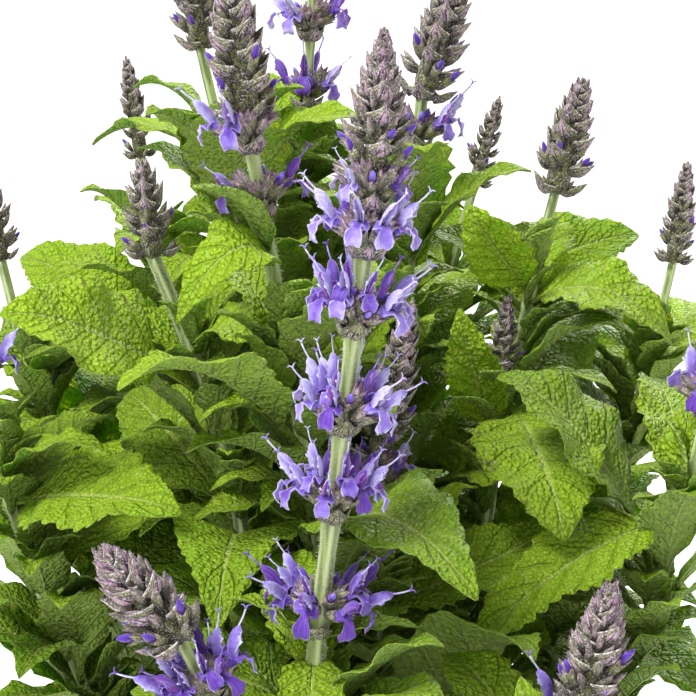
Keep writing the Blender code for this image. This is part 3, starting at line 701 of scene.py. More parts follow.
def clay_finish():
    def paint(tree):
        colours = bpy.context.scene.sage_pot
        base = mix(tree, spots(tree, 45, 5), colours.clay, scaled(colours.clay, 0.72))
        bloom = span(tree, spots(tree, 18, 6), 0.52, 0.78, 0.0, 0.55)
        base = mix(tree, bloom, base, (0.62, 0.43, 0.33))
        specks = span(tree, spots(tree, 900, 2), 0.62, 0.7, 0.0, 0.5)
        return mix(tree, specks, base, (0.20, 0.07, 0.035))

    def grain(tree):
        fine = spots(tree, 700, 3)
        turned = spots(tree, 1.0, 3, stretch=(12, 12, 420))
        return plus(tree, fine, times(tree, turned, 1.4))

    return finish("clay_fired", paint, 0.86, 0.25, (grain, 0.5, 0.0006))


def compost_finish():
    def paint(tree):
        base = mix(tree, spots(tree, 260, 4), (0.020, 0.011, 0.007), (0.085, 0.050, 0.030))
        return mix(tree, attribute(tree, "tone"), base, (0.16, 0.10, 0.055))

    def grain(tree):
        return spots(tree, 900, 4)

    return finish("compost_crumb", paint, 0.95, 0.2, (grain, 0.8, 0.0012))


def chart(tree):
    """(share across from the middle, share along) of a leaf, bract or petal, as sockets."""
    split = node(tree, "ShaderNodeSeparateXYZ", {0: node(tree, "ShaderNodeUVMap", uv_map="UVMap").outputs[0]})
    across = maths(tree, "ABSOLUTE", maths(tree, "SUBTRACT", split.outputs[0], 0.5))
    return times(tree, across, 2.0), split.outputs[1]


def leaf_finish(name, under=False):
    """A sage leaf's upper or under side: netted veins from the blade's own chart, over a leaf's tone."""
    leaf = bpy.context.scene.sage_leaves

    def rib(tree):
        """1 on the midrib, falling to 0 beside it."""
        return span(tree, chart(tree)[0], 0.015, 0.085, 1.0, 0.0)

    def veins(tree):
        """1 on the side veins, falling to 0 between them."""
        across, along = chart(tree)
        phase = maths(tree, "SUBTRACT", times(tree, along, float(leaf.veins)),
                      times(tree, across, VEIN_SLANT))
        return span(tree, maths(tree, "PINGPONG", phase, 0.5), 0.02, 0.12, 1.0, 0.0)

    def net(tree):
        """The small net between the veins: 0 in the middle of a cell and 1 at its edge, where the blade lies
        lower.
        """
        place = node(tree, "ShaderNodeTexCoord").outputs["Object"]
        warp = node(tree, "ShaderNodeTexNoise", {"Vector": place, "Scale": 700.0}).outputs["Color"]
        reach = (0.9 * MM, 0.9 * MM, 0.9 * MM)
        bent = node(tree, "ShaderNodeVectorMath", {0: warp, 1: reach}, operation="MULTIPLY")
        moved = node(tree, "ShaderNodeVectorMath", {0: place, 1: bent.outputs[0]}, operation="ADD")
        cells = node(tree, "ShaderNodeTexVoronoi", {"Vector": moved.outputs[0], "Scale": 880.0})
        return span(tree, cells.outputs["Distance"], 0.15, 0.8)

    def paint(tree):
        tone = attribute(tree, "tone")
        colour = mix(tree, tone, leaf.deep, leaf.bright)
        patch = span(tree, spots(tree, 55, 3), 0.4, 0.8, 0.0, 0.45)
        colour = mix(tree, patch, colour, mix(tree, tone, (0.12, 0.19, 0.012), (0.36, 0.48, 0.03)))
        # Painted shade: the sunk net and side veins are darkened towards the deep green, as if shaded.
        painted_groove_shade = maths(tree, "MAXIMUM", times(tree, net(tree), 0.32), times(tree, veins(tree), 0.28))
        colour = mix(tree, painted_groove_shade, colour, scaled(leaf.deep, 0.6))
        # Painted highlights: small pale spots, as light catching the crests of the quilted blade.
        painted_crest_highlights = span(tree, spots(tree, 760, 2), 0.5, 0.72, 0.0, 0.25)
        colour = mix(tree, painted_crest_highlights, colour, (0.43, 0.58, 0.05))
        colour = mix(tree, times(tree, rib(tree), 0.55), colour, (0.42, 0.52, 0.13))
        if under:
            raised = times(tree, veins(tree), 0.4)
            colour = mix(tree, 0.5, colour, (0.25, 0.345, 0.10))
            colour = mix(tree, raised, colour, (0.36, 0.46, 0.15))
        return colour

    def relief(tree):
        way = 1.0 if under else -1.0
        lines = maths(tree, "MAXIMUM", rib(tree), veins(tree))
        coarse = maths(tree, "MULTIPLY_ADD", net(tree), 0.9 * way, times(tree, lines, 0.8 * way))
        return maths(tree, "MULTIPLY_ADD", spots(tree, 1700, 2), 0.3, coarse)

    def gloss(tree):
        return span(tree, spots(tree, 300, 2), 0.3, 0.7, 0.38, 0.55)

    return finish(name, paint, 0.7 if under else gloss, 0.34, (relief, 1.0, 0.0009), 0.32, (1.0, 1.6, 0.10))


def stalk_finish():
    def paint(tree):
        stalk = bpy.context.scene.sage_stalks
        ridge = span(tree, attribute(tree, "tone"), 0.2, 0.9)
        streaks = span(tree, spots(tree, 1.0, 3, stretch=(1100, 1100, 50)), 0.35, 0.65)
        green = mix(tree, streaks, scaled(stalk.green, 0.62), scaled(stalk.green, 1.25))
        return mix(tree, ridge, green, stalk.ridge)

    def grain(tree):
        return spots(tree, 1.0, 2, stretch=(1500, 1500, 90))

    return finish("stalk_green", paint, 0.55, 0.35, (grain, 0.4, 0.0003), 0.2, (1.0, 1.3, 0.5), 0.2)


def lengthwise(tree, lines, low=0.04, high=0.2):
    """1 on fine lines that run along a bract or petal, falling to 0 between them, as a socket."""
    across, _ = chart(tree)
    wobble = times(tree, spots(tree, 900, 2), 0.35)
    place = plus(tree, times(tree, across, lines), wobble)
    return span(tree, maths(tree, "PINGPONG", place, 0.5), low, high, 1.0, 0.0)


def petal_finish():
    def paint(tree):
        petal = bpy.context.scene.sage_flowers
        tone = plus(tree, attribute(tree, "tone"), span(tree, spots(tree, 420, 2), 0.3, 0.7, -0.22, 0.22))
        pale = mix(tree, span(tree, tone, -0.1, 0.5), petal.pale, petal.middle)
        colour = mix(tree, span(tree, tone, 0.5, 1.1), pale, petal.deep)
        return mix(tree, times(tree, lengthwise(tree, 3.5), 0.35), colour, scaled(petal.middle, 0.8))

    def grain(tree):
        return spots(tree, 1500, 2)

    return finish("petal_violet", paint, 0.5, 0.3, (grain, 0.5, 0.0004), 0.3, (1.4, 1.0, 2.4), 0.35)


def bract_finish():
    def paint(tree):
        spike = bpy.context.scene.sage_spikes
        across, along = chart(tree)
        tone = attribute(tree, "tone")
        blotch = span(tree, spots(tree, 620, 3), 0.49, 0.57)
        mauve = mix(tree, blotch, spike.mauve, scaled(spike.mauve, 0.20))
        green = mix(tree, blotch, spike.green, scaled(spike.green, 0.30))
        colour = mix(tree, span(tree, tone, 0.2, 0.75), mauve, green)
        young = span(tree, tone, -0.8, -0.25, 0.75, 0.0)
        colour = mix(tree, young, colour, mix(tree, blotch, (0.36, 0.17, 0.34), (0.11, 0.035, 0.12)))
        lines = times(tree, lengthwise(tree, 3.0, 0.05, 0.30), 0.9)
        colour = mix(tree, lines, colour, spike.vein_and_shade)
        striped = mix(tree, lengthwise(tree, 6.0, 0.12, 0.26), scaled(spike.green, 0.8), spike.vein_and_shade)
        colour = mix(tree, span(tree, across, 0.42, 0.66, 0.0, 0.85), colour, striped)
        # Painted shade: darker towards the base of each bract, where the tier above shades it.
        colour = mix(tree, span(tree, along, 0.05, 0.65, 0.9, 0.0), colour, scaled(spike.vein_and_shade, 0.9))
        down = times(tree, lengthwise(tree, 5.0, 0.0, 0.08), 0.55)
        colour = mix(tree, down, colour, BRACT_DOWN)
        rim = times(tree, span(tree, across, 0.93, 1.0), span(tree, tone, 0.3, 0.8, 0.7, 0.3))
        rim = times(tree, rim, span(tree, spots(tree, 1300, 2), 0.42, 0.56, 0.2, 1.0))
        colour = mix(tree, rim, colour, (0.80, 0.74, 0.74))
        frost = span(tree, spots(tree, 2600, 2), 0.57, 0.62, 0.0, 0.5)
        colour = mix(tree, frost, colour, (0.80, 0.74, 0.76))
        return mix(tree, span(tree, along, 0.86, 1.0, 0.0, 0.7), colour, spike.tip)

    def grain(tree):
        return maths(tree, "SUBTRACT", spots(tree, 1800, 2), lengthwise(tree, 3.0))

    return finish("bract_mauve", paint, 0.7, 0.3, (grain, 0.6, 0.0004), 0.05, (1.2, 1.0, 0.8), 0.12)


def hair_finish():
    def paint(tree):
        return mix(tree, spots(tree, 400, 1), (0.72, 0.72, 0.62), (0.86, 0.84, 0.80))

    return finish("sage_hair", paint, 0.6, 0.4)


# Geometry Nodes

def new_tree(name, sockets):
    """A tree with a mesh in and out and the named inputs, as (tree, its inputs by name, its output node)."""
    tree = bpy.data.node_groups.new(name, "GeometryNodeTree")
    tree.interface.new_socket("Mesh", in_out="OUTPUT", socket_type="NodeSocketGeometry")
    first = (("Mesh", "Geometry"), ("Pattern", "Object"))
    last = (("Upper", "Material"), ("Under", "Material"))
    for label, kind in (*first, *sockets, *last):
        tree.interface.new_socket(label, in_out="INPUT", socket_type="NodeSocket" + kind)
    return tree, tree.nodes.new("NodeGroupInput").outputs, tree.nodes.new("NodeGroupOutput")


def named(tree, name, kind="FLOAT"):
    """The value of a named attribute, as a socket."""
    return node(tree, "GeometryNodeInputNamedAttribute", {"Name": name}, data_type=kind).outputs[0]


def chance_value(tree, low, high, seed):
    """A seeded random number for each point or instance, as a socket."""
    return node(tree, "FunctionNodeRandomValue", {2: low, 3: high, "Seed": seed}).outputs[1]


def stored(tree, geometry, name, value, domain):
    """Geometry that carries a number under a name, as a socket."""
    inputs = {"Geometry": geometry, "Name": name, "Value": value}
    return node(tree, "GeometryNodeStoreNamedAttribute", inputs, data_type="FLOAT", domain=domain).outputs[0]


def copies(tree, given, points, turn, size):
    """The pattern on every point, turned and sized, as a socket."""
    pattern = node(tree, "GeometryNodeObjectInfo", {"Object": given["Pattern"]}).outputs["Geometry"]
    inputs = {"Points": points, "Instance": pattern, "Rotation": turn, "Scale": size}
    return node(tree, "GeometryNodeInstanceOnPoints", inputs).outputs[0]


def dress(tree, given, result, instances):
    """Ends a tree: real geometry, the tone moved by shift, then the upper and the under material."""
    real = node(tree, "GeometryNodeRealizeInstances", {"Geometry": instances}).outputs[0]
    toned = stored(tree, real, "tone", plus(tree, named(tree, "tone"), named(tree, "shift")), "POINT")
    upper = node(tree, "GeometryNodeSetMaterial", {"Geometry": toned, "Material": given["Upper"]})
    under = node(tree, "GeometryNodeSetMaterial", {
        "Geometry": upper.outputs[0], "Material": given["Under"], "Selection": named(tree, "part", "INT"),
    })
    tree.links.new(under.outputs[0], result.inputs[0])
    return tree


def scatter_tree():
    """Puts a pattern on every point of a mesh, turned by its attribute aim and sized by size."""
    tree, given, result = new_tree("sage_scatter", (("Size", "Float"),))
    turn = node(tree, "FunctionNodeEulerToRotation", {0: named(tree, "aim", "FLOAT_VECTOR")}).outputs[0]
    size = times(tree, named(tree, "size"), given["Size"])
    return dress(tree, given, result, copies(tree, given, given["Mesh"], turn, size))


def surface_tree():
    """Spreads a pattern over the faces that are marked, standing on them and a little unequal."""
    tree, given, result = new_tree("sage_surface", (("Size", "Float"), ("Density", "Float"), ("Seed", "Int")))
    spread = node(tree, "GeometryNodeDistributePointsOnFaces", {
        "Mesh": given["Mesh"], "Selection": named(tree, "bears", "BOOLEAN"),
        "Density": given["Density"], "Seed": given["Seed"],
    })
    ends = {0: (-0.5, -0.5, 0.0), 1: (0.5, 0.5, 6.28), "Seed": given["Seed"]}
    lean = node(tree, "FunctionNodeRandomValue", ends, data_type="FLOAT_VECTOR").outputs[0]
    turned = node(tree, "FunctionNodeEulerToRotation", {0: lean}).outputs[0]
    both = {0: spread.outputs["Rotation"], 1: turned}
    turn = node(tree, "FunctionNodeRotateRotation", both, rotation_space="LOCAL")
    size = times(tree, chance_value(tree, 0.5, 1.25, given["Seed"]), given["Size"])
    return dress(tree, given, result, copies(tree, given, spread.outputs["Points"], turn.outputs[0], size))


def spike_tree():
    """Tiers of bracts or buds up an axis: each tier is turned from the last, smaller and more upright."""
    tree, given, result = new_tree("sage_spike", (
        ("Tiers", "Int"), ("Each", "Int"), ("Length", "Float"), ("Radius", "Float"), ("Root radius", "Float"),
        ("Low tilt", "Float"), ("High tilt", "Float"), ("Turn", "Float"), ("Tier turn", "Float"),
        ("Shift", "Float"), ("Seed", "Int"),
    ))
    seed = given["Seed"]
    count = times(tree, given["Tiers"], given["Each"])
    line = node(tree, "GeometryNodeMeshLine", {"Count": count, "Offset": (0, 0, 0)}).outputs[0]
    index = node(tree, "GeometryNodeInputIndex").outputs[0]
    tier = maths(tree, "FLOOR", maths(tree, "DIVIDE", index, given["Each"]))
    share = maths(tree, "DIVIDE", tier, maths(tree, "SUBTRACT", given["Tiers"], 1.0))
    within = maths(tree, "DIVIDE", times(tree, math.tau, index), given["Each"])
    angle = plus(tree, times(tree, tier, given["Tier turn"]), within)
    angle = plus(tree, angle, given["Turn"])
    angle = plus(tree, angle, chance_value(tree, -0.09, 0.09, seed))
    rise = times(tree, maths(tree, "POWER", share, SPIKE_CROWDING), given["Length"])
    rise = times(tree, rise, SPIKE_TOP_TIER)
    root = times(tree, maths(tree, "MULTIPLY_ADD", share, -SPIKE_NARROWING, 1.0), given["Root radius"])
    east, north = (times(tree, root, maths(tree, wave, angle)) for wave in ("COSINE", "SINE"))
    spot = node(tree, "ShaderNodeCombineXYZ", {0: east, 1: north, 2: rise}).outputs[0]
    moved = node(tree, "GeometryNodeSetPosition", {"Geometry": line, "Position": spot}).outputs[0]
    swing = maths(tree, "SUBTRACT", given["High tilt"], given["Low tilt"])
    tilt = maths(tree, "MULTIPLY_ADD", maths(tree, "POWER", share, 0.8), swing, given["Low tilt"])
    tilt = plus(tree, tilt, chance_value(tree, -0.07, 0.07, plus(tree, seed, 1.0)))
    aim = node(tree, "ShaderNodeCombineXYZ", {1: tilt, 2: angle}).outputs[0]
    turn = node(tree, "FunctionNodeEulerToRotation", {0: aim}).outputs[0]
    swell = maths(tree, "POWER", maths(tree, "SINE", maths(tree, "MULTIPLY_ADD", share, 1.45, 1.36)), 0.6)
    size = times(tree, swell, given["Radius"])
    size = times(tree, size, chance_value(tree, 0.93, 1.07, seed))
    change = plus(tree, chance_value(tree, -0.15, 0.15, seed), given["Shift"])
    change = maths(tree, "MULTIPLY_ADD", maths(tree, "POWER", share, 1.5), -0.95, change)
    placed = copies(tree, given, moved, turn, size)
    return dress(tree, given, result, stored(tree, placed, "shift", change, "INSTANCE"))


def in_scene(name, mesh):
    """A new object of the scene that shows a mesh."""
    made = bpy.data.objects.new(name, mesh)
    bpy.context.scene.collection.objects.link(made)
    return made


def finished_mesh(whole):
    """The mesh that an object's modifiers make of it. The object is removed."""
    bpy.context.view_layer.update()
    graph = bpy.context.evaluated_depsgraph_get()
    mesh = bpy.data.meshes.new_from_object(whole.evaluated_get(graph), depsgraph=graph)
    whole.modifiers.clear()
    bpy.data.objects.remove(whole)
    return mesh


def grown(name, base, tree, **values):
    """Runs a tree on a base object and returns the result as a plain object. The base is removed."""
    step = base.modifiers.new("grow", "NODES")
    step.node_group = tree
    sockets = {item.name: item.identifier for item in tree.interface.items_tree if item.in_out == "INPUT"}
    for label, value in values.items():
        step[sockets[label.replace("_", " ")]] = value
    mesh = finished_mesh(base)
    mesh.name = name
    return in_scene(name, mesh)


def placements(name, rows):
    """A mesh of loose points from (point, (x, y, z) axes of the pattern, size, shift) rows."""
    mesh = bpy.data.meshes.new(name)
    mesh.from_pydata([tuple(row[0]) for row in rows], [], [])
    aims = [Matrix([tuple(a) for a in row[1]]).transposed().to_euler() for row in rows]
    for label, kind, key, values in (
        ("aim", "FLOAT_VECTOR", "vector", [value for aim in aims for value in aim]),
        ("size", "FLOAT", "value", [row[2] for row in rows]),
        ("shift", "FLOAT", "value", [row[3] for row in rows]),
    ):
        mesh.attributes.new(label, kind, "POINT").data.foreach_set(key, np.array(values, np.float32))
    return in_scene(name, mesh)


def scattered(name, rows, pattern, size, upper, under):
    """Copies of a pattern at the places that rows give, as a new object."""
    return grown(name, placements(name + "_spots", rows), all_trees()["scatter"],
                 Pattern=all_patterns()[pattern], Size=size, Upper=upper, Under=under)


def joined(name, parts):
    """Several objects as one, with their attributes and materials kept."""
    with bpy.context.temp_override(active_object=parts[0], selected_editable_objects=parts):
        bpy.ops.object.join()
    parts[0].name = parts[0].data.name = name
    return parts[0]


def handed_in(piece, slot, *nodes):
    """Attaches a finished piece to the body it rides on and hides the solids it stands for. slot is not used.
    """
    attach(piece, BODY)
    if nodes:
        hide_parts(*nodes)
    return piece


# Patterns that are placed many times, each in its own unit of length

def hidden_object(shape, name):
    """A shape as an object for a tree to copy. Its faces carry their slot in the attribute part."""
    made = shape.to_object(name, [])
    part = made.data.attributes.new("part", "INT", "FACE")
    part.data.foreach_set("value", np.array(shape.slots, np.int32))
    made.data.polygons.foreach_set("material_index", np.zeros(len(shape.faces), np.int32))
    return made


def cupped_sheet(rows, columns, spine, half_width, wrap, thickness, crest=0.0):
    """A thin closed sheet along a spine in the XZ plane, cupped round +Z.

    spine(t) gives (x, z), half_width(t) a width and wrap how far the edges bend back towards the axis.
    """
    t = np.linspace(0, 1, rows)
    middle = np.array([spine(value) for value in t])
    along = unit(np.gradient(middle, axis=0))
    s = np.linspace(-1, 1, columns)
    half = np.array([max(half_width(value), 0.012) for value in t])
    outward = np.stack([along[:, 1], -along[:, 0]], axis=1)
    back = -wrap * s[None, :] ** 2 * half[:, None] + crest * half[:, None] * (1 - np.abs(s))[None, :] ** 3
    x = middle[:, 0, None] + outward[:, 0, None] * back
    z = middle[:, 1, None] + outward[:, 1, None] * back
    y = half[:, None] * s[None, :]
    top = np.stack([x, y, z], axis=-1).reshape(-1, 3)
    shift = np.repeat(np.stack([outward[:, 0], 0 * t, outward[:, 1]], axis=1), columns, axis=0)
    return closed_sheet(top, top - shift * thickness, rows, columns), np.repeat(t, columns), np.tile(s, rows)


def bract_pattern(name, rows, columns):
    """An ovate, sharp-pointed bract, one unit long, that bulges outwards and cups what it covers."""
    def spine(t):
        return 0.27 * math.sin(math.pi * t**0.8) + 0.16 * t**3, 1.08 * t

    def half_width(t):
        return float(np.interp(t, BRACT_SHARES, BRACT_HALVES))

    (points, faces, _), t, s = cupped_sheet(rows, columns, spine, half_width, 0.62, 0.05, 0.08)
    outer = 0.30 * (1 - t) ** 2
    shape = Shape()
    chart = np.stack([0.5 + s / 2, t], axis=1)
    shape.add(points, faces, 0, np.concatenate([outer, 0.8 - 0.25 * t]), np.concatenate([chart, chart]))
    return hidden_object(shape, name)


def add_calyx(shape, length, mouth_r, sides=10, lean=0.0):
    """Adds a ribbed calyx with pointed teeth at its mouth, in millimetres. It leans from +Z towards +X."""
    turn = Matrix.Rotation(lean, 3, "Y")
    points, values, chart = [], [], []
    for share, radius in ((0.0, 0.30), (0.25, 0.75), (0.6, 0.92), (1.0, 1.0), (0.93, 0.70)):
        for k in range(sides):
            tooth = 0.30 * length if share == 1.0 and k % 2 == 0 else 0.0
            reach = mouth_r * radius * (1.0 if k % 2 == 0 else 0.84) * (1.15 if tooth else 1.0)
            angle = math.tau * k / sides
            point = (reach * math.cos(angle), reach * math.sin(angle), share * length + tooth)
            points.append(turn @ Vector(point))
            values.append(0.5 + 0.35 * (1 - share) - (0.35 if tooth else 0.0))
            chart.append((0.5 + 0.45 * (k % 2), share))
    shape.add(points, tube_faces(5, sides), 1, values, chart)


def add_turned(shape, profile, sides, value):
    """Adds a closed solid turned about +Z from (radius, height) pairs that run upwards."""
    rings = [point for r, z in profile for point in ring_points(r, sides, z)]
    shape.add(rings, tube_faces(len(profile), sides), 0, value)


def bud_pattern():
    """A closed violet flower bud in its calyx, in millimetres, along +Z."""
    shape = Shape()
    add_calyx(shape, 4.2, 1.2, 8)
    petals = [(0.4, 2.0), (0.6, 3.9), (0.75, 5.2), (0.55, 6.3), (0.1, 7.1)]
    add_turned(shape, petals, 6, [1.1] * 18 + [0.75] * 12)
    return hidden_object(shape, "pattern_bud")


def calyx_pattern():
    """A calyx without a flower, in millimetres, along +Z."""
    shape = Shape()
    add_calyx(shape, 5.4, 1.4)
    return hidden_object(shape, "pattern_calyx")


def closed_calyx_pattern():
    """The small pointed calyx of an unopened flower, in millimetres, along +Z."""
    shape = Shape()
    rings, chart = [], []
    for radius, z in ((0.5, 0.0), (1.0, 1.8), (0.85, 3.6), (0.10, 5.6)):
        for k in range(6):
            reach = radius * (1.0 if k % 2 == 0 else 0.72)
            rings.append((reach * math.cos(math.tau * k / 6), reach * math.sin(math.tau * k / 6), z))
            chart.append((0.5 + 0.45 * (k % 2), z / 5.6))
    shape.add(rings, tube_faces(4, 6), 1, [0.8] * 6 + [0.7] * 6 + [0.5] * 6 + [0.1] * 6, chart)
    return hidden_object(shape, "pattern_closed_calyx")


def ribbon_points(spine, widths, dish, ruffle, notch=0.0):
    """A petal in millimetres: a thin sheet along a spine in the XZ plane, dished by dish at its edges.

    ruffle is how far its edges wave, and notch how deep its end is cut in the middle.
    """
    rows, columns = len(widths), PETAL_COLUMNS
    path = smooth_path([(x, 0, z) for x, z in spine], rows)
    along = unit(np.gradient(path, axis=0))
    normal = np.stack([-along[:, 2], 0 * along[:, 0], along[:, 0]], axis=1)
    s = np.linspace(-1, 1, columns)
    half = np.array(widths)[:, None] / 2
    row = np.arange(rows)[:, None]
    waves = ruffle * np.sin(2.1 * row + 1.3 * np.sign(s)[None, :]) * (np.abs(s) ** 3)[None, :]
    dished = np.broadcast_to(np.array(dish, float), (rows,))[:, None] * (s**2)[None, :]
    lift = (dished + waves)[..., None] * normal[:, None, :]
    across = (half * np.sin(s * math.pi / 2)[None, :])[..., None] * np.array([0, -1, 0])
    back = notch * np.clip((row / (rows - 1) - 0.7) / 0.3, 0, 1) * (1 - np.abs(s)[None, :]) ** 2
    top = (path[:, None, :] + lift + across - back[..., None] * along[:, None, :]).reshape(-1, 3)
    return closed_sheet(top, top - np.repeat(normal, columns, axis=0) * PETAL_THICKNESS, rows, columns)


def petal_chart(rows):
    """(share along, share across from the middle) of the points of a petal's sheet."""
    across = np.abs(np.linspace(-1, 1, PETAL_COLUMNS))
    return np.repeat(np.linspace(0, 1, rows), PETAL_COLUMNS), np.tile(across, rows)


def add_petal(shape, points, faces, along, across, upper, under):
    """Adds a petal's sheet with a tone for each point of its upper and its under side. Its rim is pale."""
    rim = 0.75 * across**5
    chart = np.stack([0.5 + across / 2, along], axis=1)
    tones = np.concatenate([upper - rim, under - 0.6 * rim])
    shape.add(points, faces, 0, tones, np.concatenate([chart, chart]))


def add_tube(shape, knots, radii, sides, value):
    """Adds a smooth tube through knots, with a radius for each of its rows of points."""
    path = smooth_path(knots, len(radii))
    shape.add(tube(path, np.array(radii), sides), tube_faces(len(radii), sides), 0, value)


def flower_pattern(name, reach=0.0, side=0.0):
    """An open two-lipped flower in millimetres: +X points away from the stem and +Z up along it.

    reach moves the end of its lip out, and side bends its hood and style sideways.
    """
    def bend(points):
        return [(x, y + side * max(0.0, z - 6.0) ** 1.3 * 0.12, z) for x, y, z in points]

    shape = Shape()
    add_calyx(shape, 5.4, 1.5, lean=math.radians(47))
    gullet = [(2.6, 0, 2.8), (3.9, 0, 4.0), (4.9, 0, 4.9), (5.6, 0, 5.5)]
    add_tube(shape, gullet, (0.9, 1.05, 1.3, 1.5), 8, [0.35] * 16 + [0.75] * 8 + [1.1] * 8)
    # The hood: a narrow hollow sickle, open below, its edges bent down over the stamens.
    hood = [(4.3, 4.9), (4.6, 6.7), (5.1, 8.6), (6.1, 10.3), (7.5, 11.5), (8.9, 11.7)]
    widths = [1.6, 1.65, 1.7, 1.75, 1.8, 1.85, 1.8, 1.6, 0.9]
    dish = [-1.4, -1.8, -2.1, -2.3, -2.4, -2.4, -2.2, -1.8, -1.0]
    points, faces, _ = ribbon_points(hood, widths, dish, ruffle=0.16)
    along, across = petal_chart(len(widths))
    add_petal(shape, bend(points), faces, along, across, 0.7 - 0.6 * along, 1.25 - 0.5 * along)
    # The lip: two side lobes at the throat, then a broad ruffled middle lobe that hangs down.
    lip = [(4.9, 5.1), (6.3, 5.8), (7.6, 5.6), (8.8 + reach, 4.6), (9.7 + reach, 3.0), (10.0 + reach, 1.1)]
    widths = [1.8, 3.2, 4.9, 3.9, 1.9, 2.5, 3.6, 4.2, 4.0, 2.9]
    dish = [1.2, 0.6, -0.7, -1.3, 0.5, 0.7, 0.6, 0.3, -0.1, -0.4]
    points, faces, _ = ribbon_points(lip, widths, dish, ruffle=0.5, notch=0.55)
    along, across = petal_chart(len(widths))
    upper = 1.3 - 1.05 * along + 0.2 * (1 - across)
    add_petal(shape, points, faces, along, across, upper, 0.9 - 0.6 * along)
    # The style runs under the hood and out past its tip, where it forks and curls.
    knots = [(5.4, 0, 6.2), (6.2, 0, 9.0), (7.9, 0, 11.0), (9.6, 0, 12.6), (11.0, 0, 14.4)]
    style = smooth_path(bend(knots), 7)
    shape.add(tube(style, 0.2, 4), tube_faces(7, 4), 0, -0.5)
    x, y, z = style[-1]
    for first, last in (((0.7, 0.7), (1.5, 0.4)), ((0.0, 0.9), (-0.6, 1.4))):
        branch = [(x, y, z), (x + first[0], y, z + first[1]), (x + last[0], y, z + last[1])]
        add_tube(shape, branch, (0.18, 0.17, 0.13, 0.06), 4, 0.15)
    for way in (-1, 1):
        stamen = [(5.5, 0.4 * way, 5.6), (6.8, 0.8 * way, 7.6), (8.3, 1.0 * way, 8.8)]
        add_tube(shape, stamen, (0.12, 0.12, 0.16, 0.34), 4, -0.4)
    return hidden_object(shape, name)


def hair_pattern():
    """A tapering hair, one unit long, along +Z."""
    shape = Shape()
    foot = [(0.065 * math.cos(a), 0.065 * math.sin(a), -0.05) for a in (0, math.tau / 3, 2 * math.tau / 3)]
    shape.add([*foot, (0.12, 0.03, 1.0)], [(2, 1, 0), (0, 1, 3), (1, 2, 3), (2, 0, 3)])
    return hidden_object(shape, "pattern_hair")


def crumb_pattern():
    """A crumb of compost about one unit across."""
    points, faces = turned_shape([(0, 0.36), (0.3, 0.3), (0.5, 0.02), (0.34, -0.28), (0, -0.35)], 5)
    shape = Shape()
    shape.add([(x * (1 + 0.3 * math.sin(5 * z)), y, z) for x, y, z in points], faces)
    return hidden_object(shape, "pattern_crumb")


# Leaves

def outlines(share):
    """leaf_outline for an array of shares."""
    inside = np.clip(share, 0, 1)
    return np.where((share > 0) & (share < 1), np.sin(math.pi * inside**0.62) ** 0.8, 0.0)


def sheet_chart(along, s):
    """The (u, v) of each point of a closed sheet, from its rows' shares and its columns' places across."""
    one_side = np.stack([np.tile(0.5 + s / 2, len(along)), np.repeat(along, len(s))], axis=1)
    return np.concatenate([one_side, one_side])


def blade_rows(leaf, rows):
    """(t, share of the blade) at each row, with rows for the petiole and one row at the very tip."""
    stalk_rows = 4
    blade = np.linspace(0.012, 0.992, rows - stalk_rows)
    t = leaf.petiole + (1 - leaf.petiole) * blade
    stalk = np.linspace(0, leaf.petiole, stalk_rows, endpoint=False)
    return np.concatenate([stalk, t]), np.concatenate([np.zeros(stalk_rows), blade])


def rib_frames(leaf, t):
    """Arrays (point, side, normal) on a leaf's rib, as leaf_frame gives them."""
    root, tip = np.array(leaf.root) * MM, np.array(leaf.tip) * MM
    face = np.array(leaf.face, float) / np.linalg.norm(leaf.face)
    crown = (root + tip) / 2 + face * (2 * leaf.arch * MM)
    t = t[:, None]
    point = root * (1 - t) ** 2 + crown * (2 * t * (1 - t)) + tip * t * t
    along = unit((crown - root) * (1 - t) + (tip - crown) * t)
    side = unit(np.cross(along, face))
    return point, side, np.cross(side, along)


